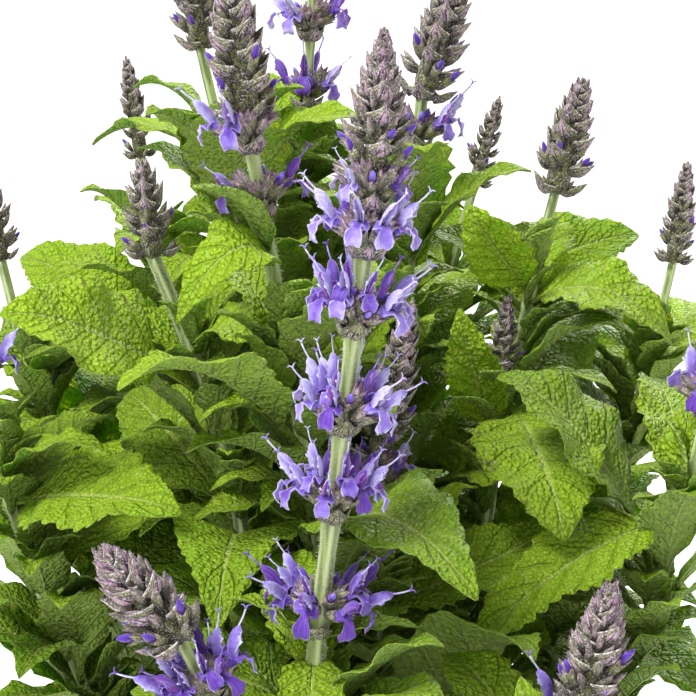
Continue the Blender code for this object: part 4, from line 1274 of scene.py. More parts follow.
def blade(leaf, rows, columns, teeth, chance):
    """(points, faces, slots, chart) of a finished leaf: scalloped edge, sunk veins, quilted between."""
    settings = bpy.context.scene.sage_leaves
    t, share = blade_rows(leaf, rows)
    point, side, normal = rib_frames(leaf, t)
    s = np.sin(np.linspace(-1, 1, columns) * math.pi / 2 * 0.96) / math.sin(math.pi / 2 * 0.96)
    off = np.abs(s)
    full = leaf.width * MM / 2
    outline = outlines(share)
    stalk = PETIOLE_HALF * (1.15 - 0.35 * np.clip(share * 4, 0, 1)) * np.clip(1.02 - share, 0, 1) ** 0.5
    half = np.maximum(full * outline, stalk)
    scallop = np.abs(np.sin(math.pi * (teeth * share ** 0.92))) ** 0.6 - 0.62
    grow = np.where(share > 0, 1.0, 0.0) * settings.scallop * np.clip(outline * 2.2, 0, 1)
    reach = half[:, None] * s[None, :] * (1 + (grow * scallop)[:, None] * (off**3)[None, :])
    # Side veins leave the rib forwards, and the blade swells up between them.
    slant = share[:, None] * settings.veins - VEIN_SLANT * off[None, :]
    pillow = np.abs(np.sin(math.pi * slant)) ** 0.55 - 0.6
    inner = np.clip(outline, 0, 1)[:, None] * (off * (1.15 - off) * 3.0)[None, :]
    lift = 0.22 * full * np.clip(outline, 0, 1)[:, None] * (off**1.3 * 1.35 - 0.35 * s**4)[None, :]
    lift = lift + settings.quilt * full * pillow * inner
    roll = chance.uniform(0, math.tau)
    waves = chance.uniform(2.2, 3.4)
    for way in (-1, 1):
        wave = np.sin(math.tau * waves * share + roll + 1.7 * way) * settings.wave * full
        wave = wave * np.clip(share * 3, 0, 1)
        lift = lift + wave[:, None] * (np.clip(way * s, 0, 1) ** 2)[None, :] * outline[:, None]
    lift = lift - (0.10 * full * np.exp(-((s / 0.10) ** 2)))[None, :] * inner.clip(0.0, 0.4) * 2
    droop = -0.5 * full * np.clip((share - 0.72) / 0.28, 0, 1) ** 2
    lift = lift + 0.35 * droop[:, None]
    twist = math.radians(chance.uniform(-9, 9)) * share
    lean = np.cos(twist)[:, None] * side + np.sin(twist)[:, None] * normal
    top = point[:, None, :] + reach[..., None] * lean[:, None, :] + lift[..., None] * normal[:, None, :]
    thick = 0.42 * MM * (1 - 0.45 * off)[None, :] * np.where(share > 0, 1.0, 2.6)[:, None]
    rib = 0.75 * MM * np.exp(-((s / 0.13) ** 2))[None, :] * (1.05 - share)[:, None]
    under = top - thick[..., None] * normal[:, None, :] - rib[..., None] * normal[:, None, :]
    points, faces, slots = closed_sheet(top.reshape(-1, 3), under.reshape(-1, 3), rows, columns)
    return points, faces, slots, sheet_chart(share, s)


def leaf_tone(leaf, chance):
    """How bright a leaf is: young leaves high on their shoots are the brightest."""
    height = (leaf.root[2] - LOWEST_NODE / MM) / 150
    return float(np.clip(0.18 + 0.62 * height + chance.uniform(-0.22, 0.28), 0.05, 1.0))


def leaf_detail(leaf):
    """(rows, columns, teeth) of a leaf: finest on the side that is looked at."""
    length = (Vector(leaf.tip) - Vector(leaf.root)).length
    teeth = max(6, round(length / (4.4 if leaf.segments == HIDDEN_SEGMENTS else 3.6)))
    near = leaf.tip[1] < 5 or leaf.root[1] < -20
    if leaf.segments == HIDDEN_SEGMENTS:
        return (4 + teeth * 3, 7, teeth) if near and leaf.root[1] < -30 else (4 + teeth * 2, 5, teeth)
    return (4 + teeth * 4, 9, teeth) if near else (4 + teeth * 2, 7, teeth)


# Pot and compost

def even_steps(start, end, count):
    """The count (radius, height) pairs that lead in equal steps from one pair to another."""
    return [tuple(a + (b - a) * k / count for a, b in zip(start, end)) for k in range(1, count + 1)]


def pot_profile():
    """(radius, height) pairs of the pot, from the middle of its inside over the rim to its foot."""
    under_rim = POT_HEIGHT - RIM_HEIGHT
    inner_foot, inner_top = POT_FOOT_R - POT_WALL, POT_TOP_R - RIM_STEP - POT_WALL
    inner_low = (inner_foot, POT_FLOOR + 2.5 * MM)
    outline = [(0, POT_FLOOR), (inner_foot - 3 * MM, POT_FLOOR), inner_low]
    outline += even_steps(inner_low, (inner_top, under_rim), 6)
    lip = 2.2 * MM
    quarter = [math.pi / 6 * k for k in range(4)]
    inner_lip = inner_top + 1 * MM + lip
    outline += [(inner_lip - lip * math.cos(a), POT_HEIGHT - lip + lip * math.sin(a)) for a in quarter]
    outline += [(POT_TOP_R - lip + lip * math.sin(a), POT_HEIGHT - lip + lip * math.cos(a)) for a in quarter]
    # Two faint throwing grooves round the rim, then its rolled lower edge.
    for share in (0.18, 0.24, 0.30, 0.62, 0.68, 0.74):
        dent = 0.35 * MM if share in (0.24, 0.68) else 0.0
        outline.append((POT_TOP_R - share * MM - dent, POT_HEIGHT - lip - share * (RIM_HEIGHT - 2 * lip)))
    roll, shoulder = POT_TOP_R - 1 * MM, POT_TOP_R - RIM_STEP
    outline += [(roll, under_rim + 1.8 * MM), (roll - 0.6 * MM, under_rim + 0.5 * MM)]
    outline.append((roll - 1.8 * MM, under_rim))
    side_top = (shoulder - 3.0 * MM, under_rim - 1.2 * MM)
    outline += [(shoulder - 2.2 * MM, under_rim - 0.2 * MM), side_top]
    outline += even_steps(side_top, (POT_FOOT_R, 3 * MM), 10)
    outline += [(POT_FOOT_R - 0.5 * MM, 1.0 * MM), (POT_FOOT_R - 2 * MM, 0), (0, 0)]
    return outline


def pot_object(sides, material):
    """The thrown clay pot with its drain holes."""
    shape = Shape()
    shape.add(*turned_shape(pot_profile(), sides))
    whole = shape.to_object("pot_whole", [material])
    drills = bpy.data.collections.new("drills")
    for hole in range(DRAIN_HOLES):
        angle = math.tau * (hole + 0.4) / DRAIN_HOLES
        middle = (DRAIN_RING * math.cos(angle), DRAIN_RING * math.sin(angle))
        drill = Shape()
        rings = [point for z in (-POT_FLOOR, 2 * POT_FLOOR) for point in ring_points(DRAIN_R, 24, z, middle)]
        drill.add(rings, tube_faces(2, 24))
        made = drill.to_object(f"drill_{hole}", [])
        bpy.context.scene.collection.objects.unlink(made)
        drills.objects.link(made)
    bpy.context.scene.collection.children.link(drills)
    cut = whole.modifiers.new("drains", "BOOLEAN")
    cut.operation, cut.solver = "DIFFERENCE", "MANIFOLD"
    cut.operand_type, cut.collection = "COLLECTION", drills
    mesh = finished_mesh(whole)
    for drill in list(drills.objects):
        bpy.data.objects.remove(drill)
    bpy.data.collections.remove(drills)
    mesh.set_sharp_from_angle(angle=math.radians(50))
    return in_scene("clay_pot", mesh)


def compost_object(material):
    """The uneven compost with a hole for each stalk and loose crumbs on top."""
    under_rim = POT_HEIGHT - RIM_HEIGHT
    slope = (POT_TOP_R - RIM_STEP - POT_FOOT_R) / (under_rim - POT_FLOOR)
    bottom = POT_FLOOR + 2 * GAP
    wall_r = POT_TOP_R - RIM_STEP - POT_WALL - 2 * GAP
    rings = [(wall_r * k / 44, SOIL_TOP + SOIL_DOME * (1 - (k / 44) ** 2)) for k in range(45)]
    profile = rings + [(wall_r, under_rim), (wall_r - slope * (under_rim - bottom), bottom), (0, bottom)]
    points, faces = turned_shape(profile, 110)
    chance = random.Random("compost")
    ranges = ((-1, 1), (-1, 1), (0.02, 0.09), (-1, 1))
    humps = np.array([[chance.uniform(*ends) for ends in ranges] for _ in range(SOIL_HUMPS)])
    ground = np.array(points)
    away = ground[:, None, :2] - humps[:, :2] * wall_r
    sizes = humps[:, 2] * wall_r
    lift = (humps[:, 3] * 1.5 * MM * np.exp(-(away**2).sum(axis=2) / sizes**2)).sum(axis=1)
    for shoot in SHOOTS:
        away = np.hypot(ground[:, 0] - shoot.foot[0] * MM, ground[:, 1] - shoot.foot[1] * MM)
        lift -= 2.5 * MM * np.exp(-((away / ((shoot.stem_r + 1.2) * MM)) ** 4))
    edge = np.hypot(ground[:, 0], ground[:, 1]) / wall_r
    ground[:, 2] += np.where(ground[:, 2] > SOIL_TOP - 1 * MM, lift * np.clip((1.02 - edge) * 12, 0.15, 1), 0)
    shape = Shape()
    shape.add(ground, faces)
    soil = shape.to_object("compost_bed", [material])
    crumbs = spread_over("crumbs", soil, "crumb", material, CRUMB, bpy.context.scene.sage_pot.crumbs, 4,
                         SOIL_TOP - 2 * MM)
    return joined("compost_bed", [soil, crumbs])


# Pieces

def shoot_axis(shoot):
    """(base, axis, length) of a shoot's bud spike."""
    base, tip = vec(shoot.neck), vec(shoot.tip)
    return base, (tip - base).normalized(), (tip - base).length


def leaf_heights(leaves, shoot):
    """Heights where a shoot bears leaves."""
    return sorted({round(leaf.root[2], 1) * MM for leaf in leaves if leaf.shoot == shoot.name})


def stalk_object(shoot, leaves, materials):
    """A square stem with raised pale corners, swollen a little at each leaf pair."""
    low, high = SOIL_TOP - ROOT_DEPTH, shoot.neck[2] * MM + 1 * MM
    count = 90
    heights = np.linspace(low, high, count)
    raw = np.array([tuple(stem_at(shoot, z)[0]) for z in heights])
    smooth = raw.copy()
    for _ in range(10):
        smooth[2:-1] = 0.25 * smooth[1:-2] + 0.5 * smooth[2:-1] + 0.25 * smooth[3:]
    radii = np.array([stem_at(shoot, z)[2] for z in heights])
    swell = np.zeros(count)
    for height in leaf_heights(leaves, shoot) + [z * MM for z, _ in shoot.whorls]:
        swell += 0.22 * np.exp(-(((heights - height) / (2.4 * MM)) ** 2))
    radii = radii * (1 + np.minimum(swell, 0.3))
    section = [1.02, 0.84, 0.72, 0.84] * 4
    turn = math.radians(shoot.turn)
    points = tube(smooth, radii, 16, lean=(-math.sin(turn), math.cos(turn), 0), section=section)
    tones = np.tile([1.0, 0.45, 0.0, 0.45] * 4, count)
    shape = Shape()
    shape.add(points, tube_faces(count, 16), 0, tones)
    return shape.to_object("stalk_" + shoot.name, materials)


def large_leaves(shoot, leaves, materials):
    """A shoot's large leaves, each where its solid is."""
    chance = random.Random("leaves " + shoot.name)
    shape = Shape()
    for leaf in leaves:
        if leaf.shoot == shoot.name:
            rows, columns, teeth = leaf_detail(leaf)
            points, faces, slots, chart = blade(leaf, rows, columns, teeth, chance)
            shape.add(points, faces, slots, leaf_tone(leaf, chance), chart)
    return shape.to_object("foliage_" + shoot.name, materials)


# More leaves that the front view shows between the shoots, each as (shoot, height of its root, the way
# it points in degrees from +X, how steeply it rises in degrees, length, width, how far it faces forward)
FILLING_LEAVES = [
    ("right_tall", 238, -30, 2, 60, 23, 0.2),
    ("right_tall", 246, 15, 2, 34, 17, 1.4),
    ("right_bud", 262, -80, -20, 60, 30, 1.1),
    ("right_bud", 198, -60, 25, 34, 17, 1.1),
    ("back_left_bud", 278, -50, 50, 24, 12, 1.1),
    ("back_left_bud", 262, 150, 25, 60, 23, 1.4),
    ("back_left_bud", 254, 145, 25, 60, 23, 0.4),
    ("back_right_bud", 270, 0, 25, 60, 23, 1.3),
    ("left_bud", 270, -140, 25, 60, 23, 1.2),
    ("left_bud", 238, 125, 25, 60, 23, 1.5),
    ("low_right_bud", 206, 10, 50, 60, 24, 1.3),
    ("rear_left", 246, -45, -20, 60, 23, 0.2),
    ("rear_left", 206, 55, 50, 24, 12, 1.5),
    ("rear_right", 246, 85, 25, 60, 24, 0.5),
    ("rear_right", 234, -95, 14, 60, 26, 1.2),
    ("far_left", 214, 45, 25, 46, 23, 1.4),
    ("far_right", 230, 175, 50, 60, 23, 0.3),
]


def filling_leaves(shoot):
    """The leaves of the list above that a shoot bears."""
    made = []
    for name, height, heading, rise, length, width, forward in FILLING_LEAVES:
        if name == shoot.name:
            root = stem_at(shoot, height * MM)[0] / MM
            way, lift = math.radians(heading), math.radians(rise)
            out = Vector((math.cos(way) * math.cos(lift), math.sin(way) * math.cos(lift), math.sin(lift)))
            made.append(Leaf(name, tuple(root), tuple(root + out * length), FILLING_ARCH * length, width,
                             FILLING_PETIOLE, (0, -forward, 1), HIDDEN_SEGMENTS))
    return made


def front_corridor():
    """The space before the front shoot's whorls, which leaves keep out of, as a search tree."""
    low, high = vec((-5, -97, RANK_Z)), vec((7, -97, 352))
    return search_tree(*spindle_mesh(low, high, [(0, 13 * MM), (0.5, 15 * MM), (1, 11 * MM)]))


def side_leaves(shoot, taken, chance):
    """The middling leaves of a shoot's side buds, between its large leaves and down to the compost."""
    made = []
    beyond = Vector((SIDE_OVERHANG, SIDE_OVERHANG, 0))
    low_box, high_box = CAD_BOX[0] - beyond, CAD_BOX[1] + beyond
    top = (shoot.waist[2] - (24 if shoot.name == "front" else 5)) * MM
    height, turn = SIDE_LOWEST, shoot.turn + 45
    ways = range(0, 360, 60 if shoot.foot[1] > 5 else 90)
    while height < top:
        for way in ways:
            for attempt in range(SIDE_TRIES):
                share = (height - SIDE_LOWEST) / (top - SIDE_LOWEST)
                length = chance.uniform(*SIDE_LEAF) * (1.08 - 0.25 * share - 0.07 * attempt)
                length *= 1.3 if shoot.foot[1] > 20 else 1.0
                z = height + chance.uniform(0, 0.6) * SIDE_STEP
                middle, _, radius = stem_at(shoot, z)
                heading = math.radians(turn + way + chance.uniform(-40, 40))
                lift = math.radians(chance.uniform(4, 58))
                out = Vector((math.cos(heading), math.sin(heading), 0))
                root = middle + out * (0.35 * radius)
                tip = root + (out * math.cos(lift) + Vector((0, 0, math.sin(lift)))) * length
                if not all(low < place < high for low, place, high in zip(low_box, tip, high_box)):
                    continue
                face = Vector((0, 0, 1)) - out * chance.uniform(0, 0.4)
                arch = length * chance.uniform(0.08, 0.24) / MM
                width = length * chance.uniform(0.40, 0.54) / MM
                leaf = Leaf(shoot.name, tuple(root / MM), tuple(tip / MM), arch, width, 0.12, tuple(face),
                            HIDDEN_SEGMENTS)
                test = search_tree(*leaf_mesh(leaf, spread=SIDE_EASE))
                if not any(test.overlap(other) for owner, other in taken if owner != shoot.name):
                    made.append(leaf)
                    taken.append(("leaf", search_tree(*leaf_mesh(leaf))))
                    break
        height += SIDE_STEP
        turn += 45 + chance.uniform(-20, 20)
    return made


def young_leaf_pattern():
    """A small folded leaf, one unit long, along +X with its upper side towards +Z."""
    rows, columns = 8, 3
    t = np.linspace(0.0, 1.0, rows)
    s = np.linspace(-1, 1, columns)
    half = np.maximum(0.22 * outlines(np.clip(t * 1.02 - 0.01, 0, 1)), 0.018)
    crumple = 1 + 0.12 * np.sin(np.arange(rows) * 2.6)[:, None] * np.abs(s)[None, :]
    x = np.repeat(t - 0.08 * t**2, columns)
    y = (half[:, None] * s[None, :] * crumple).ravel()
    z = (0.16 * np.sin(math.pi * t * 0.9) + 0.12 * t)[:, None] + 0.45 * half[:, None] * np.abs(s)[None, :]
    top = np.stack([x, -y, z.ravel()], axis=1)
    points, faces, slots = closed_sheet(top, top - np.array([0, 0, 0.022]), rows, columns)
    shape = Shape()
    shape.add(points, faces, slots, 0.0, sheet_chart(t, s))
    return hidden_object(shape, "pattern_young_leaf")


def turned_axes(forward, up):
    """The (x, y, z) axes of a pattern whose +X points forward and whose +Z is nearest to up."""
    x = Vector(forward).normalized()
    y = Vector(up).cross(x).normalized()
    return x, y, x.cross(y)


def upright_axes(direction, out):
    """The axes of a pattern whose +Z points in a direction and whose +X is nearest to out."""
    z = Vector(direction).normalized()
    y = z.cross(Vector(out)).normalized()
    return y.cross(z), y, z


def young_leaf_rows(shoot, leaves, taken, chance):
    """Where the young leaves of a shoot grow: tufts in the axils of its large leaves."""
    rows = []
    for leaf in leaves:
        if leaf.shoot != shoot.name:
            continue
        root, tip = vec(leaf.root), vec(leaf.tip)
        out = Vector((tip.x - root.x, tip.y - root.y, 0)).normalized()
        middle, _, radius = stem_at(shoot, root.z)
        for _ in range(AXIL_LEAVES):
            angle = math.radians(chance.uniform(-65, 65))
            heading = Matrix.Rotation(angle, 3, "Z") @ out
            lift = math.radians(chance.uniform(28, 68))
            forward = heading * math.cos(lift) + Vector((0, 0, math.sin(lift)))
            length = chance.uniform(11, 27) * MM
            start = middle + heading * (0.5 * radius) + Vector((0, 0, chance.uniform(0.5, 3.0) * MM))
            probe = start + forward * 3.5 * MM
            if any(other.ray_cast(probe, forward, length)[0] is not None for _, other in taken):
                continue
            rows.append((start, turned_axes(forward, (0, 0, 1)), length, chance.uniform(0.45, 0.95)))
    return rows


def whorl_rows(shoot, chance):
    """Placements for each pattern of a shoot's whorls: flowers, buds, calyces and bracts."""
    bract = "bract_fine" if shoot.name in NEAREST else "bract"
    rows = {"flower": [], "flower_bent": [], "flower_wide": [], "calyx": [], "bud": [], bract: []}
    for number, (height, count) in enumerate(shoot.whorls):
        low, axis, radius = stem_at(shoot, height * MM + RING_LIFT)
        middle = low + axis * (0.3 * RING_HEIGHT)
        spots_at = [(degrees, size, 0.0) for degrees, size in whorl_flowers(shoot, number, count)]
        first = shoot.turn + 90 * number
        if count >= 6 and number < 4:
            spots_at += [(first + turn, 0.82, 1.0) for turn in (0, 45, 135, 180, 225, 315)]
        fade = 0.38 - 0.52 * number / max(1, len(shoot.whorls) - 1)
        for degrees, size, inner in spots_at:
            out, _ = around(axis, degrees + chance.uniform(-9, 9))
            nod = chance.uniform(-3, 15) - 18 * inner + (16 if number == 0 and shoot.name == "front" else 0)
            lean = Matrix.Rotation(math.radians(nod), 3, axis.cross(out))
            twist = Matrix.Rotation(math.radians(chance.uniform(-16, 16)), 3, axis)
            spot = middle + out * (radius + GAP) + axis * ((chance.uniform(-1.5, 0.0) + 1.2 * inner) * MM)
            axes = upright_axes(lean @ axis, twist @ (lean @ out))
            kind = chance.choice(("flower", "flower_bent", "flower_wide"))
            tone = fade + chance.uniform(*((0.85, 1.2) if chance.random() < DARK_FLOWERS else (-0.35, 0.3)))
            rows[kind].append((spot, axes, size * chance.uniform(0.86, 1.02), tone))
        for step in range(WHORL_CALYCES):
            degrees = first + (step + 0.5) * 360 / WHORL_CALYCES + chance.uniform(-9, 9)
            out, _ = around(axis, degrees)
            tilt = math.radians(chance.uniform(25, 68))
            direction = axis * math.cos(tilt) + out * math.sin(tilt)
            spot = middle + out * (0.8 * radius) + axis * (chance.uniform(-0.8, 1.6) * MM)
            kind = "bud" if chance.random() < 0.35 else "calyx"
            axes = upright_axes(direction, out)
            rows[kind].append((spot, axes, chance.uniform(0.8, 1.1), chance.uniform(-0.25, 0.25)))
        # The bracts under a whorl make a shallow bowl: green low on a shoot, mauve near its spike.
        leafy = shoot.name == "front" and number == 0
        mauve = number >= len(shoot.whorls) - 2
        base, axis, radius = stem_at(shoot, (height - (2.2 if leafy else 0)) * MM)
        for turn in (0, 180, 90, 270) if not leafy else (90, 270):
            out, _ = around(axis, first + turn + chance.uniform(-8, 8))
            tilt = math.radians((36 if turn in (0, 180) else 31) + chance.uniform(-6, 6))
            direction = axis * math.cos(tilt) + out * math.sin(tilt)
            size = (5.6 if turn in (0, 180) else 5.0) * chance.uniform(0.92, 1.06) * MM
            spot = base + out * (0.4 * radius) - axis * 0.2 * MM
            shift = chance.uniform(-0.1, 0.15) + (0.0 if mauve else 0.85)
            rows[bract].append((spot, upright_axes(direction, out), size, shift))
    return rows


def leafy_bracts(shoot):
    """The two leaf-like bracts under the lowest whorl of the front shoot, as leaves."""
    base, axis, radius = stem_at(shoot, (shoot.whorls[0][0] - 2.6) * MM)
    made = []
    for turn, rise in ((0, 0.12), (180, 0.5)):
        out, _ = around(axis, shoot.turn + turn)
        root = base + out * (0.3 * radius)
        tip = root + (out + axis * rise).normalized() * LEAFY_BRACT * MM
        face = axis - out * 0.3
        made.append(Leaf(shoot.name, tuple(root / MM), tuple(tip / MM), 1.6, 7.5, 0.06, tuple(face)))
    return made


def bloom_object(shoot):
    """The open flowers of a shoot with their buds, calyces and bracts, as one piece."""
    chance = random.Random("whorls " + shoot.name)
    bract, petal = head_materials()["bract"], head_materials()["petal"]
    parts = []
    for kind, rows in whorl_rows(shoot, chance).items():
        if rows:
            scale, upper = (1.0, bract) if kind.startswith("bract") else (MM, petal)
            parts.append(scattered(f"{kind}_{shoot.name}", rows, kind, scale, upper, bract))
    return joined("blooms_" + shoot.name, parts)


def seat(name):
    """A single point at the origin, for a tree that needs no more."""
    return placements(name, [((0, 0, 0), Matrix.Identity(3), 1.0, 0.0)])


def spike_object(shoot):
    """The unopened top of a shoot: crossed pairs of sharp bracts, with closed calyces and buds behind."""
    base, axis, length = shoot_axis(shoot)
    full = shoot.spike_r * MM
    near = shoot.name in NEAREST
    seed = sum(ord(letter) for letter in shoot.name)
    bract = head_materials()["bract"]

    def tiers(name, pattern, each, radius, root, low_tilt, high_tilt, seed):
        return grown(f"{name}_{shoot.name}", seat(name + "_seat"), all_trees()["spike"],
                     Pattern=all_patterns()[pattern], Tiers=max(9, round(length / SPIKE_TIER)), Each=each,
                     Length=length, Radius=radius * full, Root_radius=root * full,
                     Low_tilt=math.radians(low_tilt), High_tilt=math.radians(high_tilt),
                     Turn=math.radians(shoot.turn), Tier_turn=math.pi / 2,
                     Shift=GREENER.get(shoot.name, 0.0), Seed=seed, Upper=bract, Under=bract)

    parts = [
        tiers("bracts", "bract_fine" if near else "bract", 2, 0.82, 0.36, 58, 7, seed),
        tiers("calyces", "closed_calyx", 6 if near else 4, 0.15, 0.38, 50, 6, seed + 7),
    ]
    chance = random.Random("spike buds " + shoot.name)
    buds = []
    for number in range(round(5 * shoot.spike_r / 6)):
        out, _ = around(Vector((0, 0, 1)), shoot.turn + BUD_TURN * number + chance.uniform(-20, 20))
        tilt = math.radians(chance.uniform(30, 55))
        direction = out * math.sin(tilt) + Vector((0, 0, math.cos(tilt)))
        spot = out * (0.42 * full) + Vector((0, 0, chance.uniform(0.04, 0.3) * length))
        size = chance.uniform(0.12, 0.15) * full
        buds.append((spot, upright_axes(direction, out), size, chance.uniform(0.35, 0.8)))
    parts.append(scattered("buds_in_" + shoot.name, buds, "bud", 1.0, head_materials()["petal"], bract))
    core = Shape()
    add_turned(core, [(full * r, length * share) for share, r in SPIKE_CORE], 10, 0.8)
    parts.append(core.to_object(f"core_{shoot.name}", [bract]))
    made = joined("buds_" + shoot.name, parts)
    out, side = around(axis, 0)
    stand = Matrix((out, side, axis)).transposed().to_4x4()
    stand.translation = base
    made.data.transform(stand)
    return made


def spread_over(name, bearer, pattern, material, size, density, seed, low):
    """Copies of a pattern over the faces of a piece whose middle is above a height, as a new object."""
    copy = in_scene(name + "_bearer", bearer.data.copy())
    centres = np.zeros(len(copy.data.polygons) * 3, np.float32)
    copy.data.polygons.foreach_get("center", centres)
    bears = copy.data.attributes.new("bears", "BOOLEAN", "FACE")
    bears.data.foreach_set("value", centres[2::3] > low)
    return grown(name, copy, all_trees()["surface"], Pattern=all_patterns()[pattern], Size=size,
                 Density=density, Seed=seed, Upper=material, Under=material)


# Stage

def make_floor():
    """A plain pale floor that reaches past the camera's view."""
    def paint(tree):
        return mix(tree, spots(tree, 3, 2), (0.93, 0.93, 0.94), (0.95, 0.95, 0.955))

    corners = [(x * FLOOR_REACH, y * FLOOR_REACH, 0) for x, y in ((-1, -1), (1, -1), (1, 1), (-1, 1))]
    mesh = bpy.data.meshes.new("floor")
    mesh.from_pydata(corners, [], [(0, 1, 2, 3)])
    mesh.materials.append(finish("floor_pale", paint, 0.9, 0.1))
    in_scene("floor", mesh)


def aimed(name, data, way):
    """A lamp or camera of the scene that looks along a direction."""
    made = in_scene(name, data)
    made.rotation_euler = Vector(way).to_track_quat("-Z", "Y").to_euler()
    return made


def make_lamp(name, place, size, power, colour):
    """A soft square lamp at a place, aimed at the middle of the flowers."""
    lamp = bpy.data.lights.new(name, "AREA")
    lamp.size, lamp.energy, lamp.color = size, power, colour
    aimed(name, lamp, Vector(LIT_PLACE) - Vector(place)).location = place


def make_lights():
    """A pale sky all round, a broad soft sun from the upper left, and lamps behind and in front."""
    world = bpy.data.worlds.new("studio")
    world.use_nodes = True
    sky = world.node_tree.nodes["Background"].inputs
    sky["Color"].default_value = (1.0, 1.0, 1.0, 1.0)
    sky["Strength"].default_value = SKY_STRENGTH
    bpy.context.scene.world = world
    make_lamp("back", (0.45, 0.95, 0.95), 0.7, BACK_POWER, (1.0, 1.0, 0.97))
    make_lamp("front", (-0.5, -1.2, 0.6), 0.9, FRONT_POWER, (1.0, 1.0, 1.0))
    sun = bpy.data.lights.new("soft_sun", "SUN")
    sun.energy, sun.angle = SUN_STRENGTH, math.radians(SUN_SPREAD)
    aimed("soft_sun", sun, SUN_WAY)


def make_camera():
    """The photograph's viewpoint."""
    lens = bpy.data.cameras.new("camera")
    lens.sensor_fit = "HORIZONTAL"
    lens.angle = math.radians(CAMERA_ANGLE)
    lens.clip_start, lens.clip_end = 0.01, 100.0
    camera = in_scene("camera", lens)
    camera.location = CAMERA_AT
    camera.rotation_euler = (math.radians(CAMERA_TILT), 0, 0)
    bpy.context.scene.camera = camera
    bpy.context.scene.view_settings.view_transform = "Standard"


# Settings

def colour_setting(name, description, default):
    """A colour that the panel shows."""
    return FloatVectorProperty(name=name, description=description, subtype="COLOR", size=3, min=0, max=1,
                               default=default)


class SagePotSettings(bpy.types.PropertyGroup):
    """The pot and its compost."""

    clay: colour_setting("Clay", "Colour of the fired clay", (0.43, 0.155, 0.072))
    sides: IntProperty(name="Sides", description="Faces round the pot", min=24, max=256, default=128)
    crumbs: FloatProperty(name="Crumbs", description="Crumbs on a square metre of compost", min=0,
                          default=60000)


class SageStalkSettings(bpy.types.PropertyGroup):
    """The stalks and their hairs."""

    green: colour_setting("Green", "Colour between the corners", (0.28, 0.37, 0.115))
    ridge: colour_setting("Ridge", "Colour of the pale corners", (0.52, 0.60, 0.30))
    hair_length: FloatProperty(name="Hair length", description="Length of a stalk hair", subtype="DISTANCE",
                               unit="LENGTH", min=0, default=0.0009)
    hair_density: FloatProperty(name="Hairs", description="Hairs on a square metre of stalk", min=0,
                                default=1.6e6)


class SageLeafSettings(bpy.types.PropertyGroup):
    """The leaves."""

    deep: colour_setting("Deep green", "Colour of the old leaves", (0.075, 0.155, 0.006))
    bright: colour_setting("Bright green", "Colour of the young leaves", (0.36, 0.56, 0.015))
    veins: IntProperty(name="Veins", description="Side veins on each side of the rib", min=3, max=12,
                       default=7)
    quilt: FloatProperty(name="Quilting", description="Swell between the veins, as a share of half the width",
                         min=0, max=0.3, default=0.085)
    scallop: FloatProperty(name="Teeth", description="Depth of the round teeth, as a share of half the width",
                           min=0, max=0.3, default=0.23)
    wave: FloatProperty(name="Wave", description="Wave of the edge, as a share of half the width",
                        min=0, max=0.4, default=0.16)


class SageFlowerSettings(bpy.types.PropertyGroup):
    """The open flowers."""

    pale: colour_setting("Pale", "Colour of the hood and the petals' edges", (0.56, 0.50, 0.92))
    middle: colour_setting("Middle", "Colour of the lip", (0.235, 0.15, 0.68))
    deep: colour_setting("Deep", "Colour of the throat", (0.07, 0.006, 0.33))


class SageSpikeSettings(bpy.types.PropertyGroup):
    """The unopened spikes."""

    mauve: colour_setting("Mauve", "Colour of the bracts", (0.50, 0.33, 0.42))
    green: colour_setting("Green", "Colour inside the bracts", (0.25, 0.27, 0.075))
    # Also the colour of the painted shade at the base of each bract.
    vein_and_shade: colour_setting("Vein", "Colour of the lines on bracts and calyces", (0.028, 0.012, 0.018))
    tip: colour_setting("Tip", "Colour of the tips", (0.16, 0.07, 0.16))
    hairs: FloatProperty(name="Hairs", description="Hairs on a square metre of the nearest spikes", min=0,
                         default=3.5e5)


# Operators

def shared(key, make):
    """A material, pattern, tree or layout that several operators use, made once."""
    if key not in KEPT:
        KEPT[key] = make()
    return KEPT[key]


def leaf_layout():
    """(leaves, search trees of all they clear), from the placement rule."""
    return shared("leaves", grow_leaves)


def all_trees():
    """The node trees, by name."""
    return shared("trees", lambda: {
        "scatter": scatter_tree(), "spike": spike_tree(), "surface": surface_tree(),
    })


def all_patterns():
    """The patterns that the trees copy, by name."""
    return shared("patterns", lambda: {
        "flower": flower_pattern("pattern_flower"),
        "flower_bent": flower_pattern("pattern_flower_bent", -0.7, 0.9),
        "flower_wide": flower_pattern("pattern_flower_wide", 0.9, -0.8),
        "calyx": calyx_pattern(), "bud": bud_pattern(), "closed_calyx": closed_calyx_pattern(),
        "bract": bract_pattern("pattern_bract", 7, 5),
        "bract_fine": bract_pattern("pattern_bract_fine", 9, 7),
        "hair": hair_pattern(), "crumb": crumb_pattern(), "young_leaf": young_leaf_pattern(),
    })


def head_materials():
    """The materials of petals, bracts and hairs."""
    return shared("heads", lambda: {"petal": petal_finish(), "bract": bract_finish(), "hair": hair_finish()})


def leaf_materials():
    """The materials of a leaf's upper and under side."""
    return shared("leaf_finishes", lambda: [leaf_finish("leaf_upper"), leaf_finish("leaf_under", under=True)])


class SAGE_OT_pot(bpy.types.Operator):
    """Makes the clay pot"""

    bl_idname = "sage.pot"
    bl_label = "Clay pot"

    def execute(self, context):
        handed_in(pot_object(context.scene.sage_pot.sides, clay_finish()), "clay", "pot")
        return {"FINISHED"}


class SAGE_OT_compost(bpy.types.Operator):
    """Makes the compost and its crumbs"""

    bl_idname = "sage.compost"
    bl_label = "Compost"

    def execute(self, context):
        handed_in(compost_object(compost_finish()), "compost", "compost")
        return {"FINISHED"}


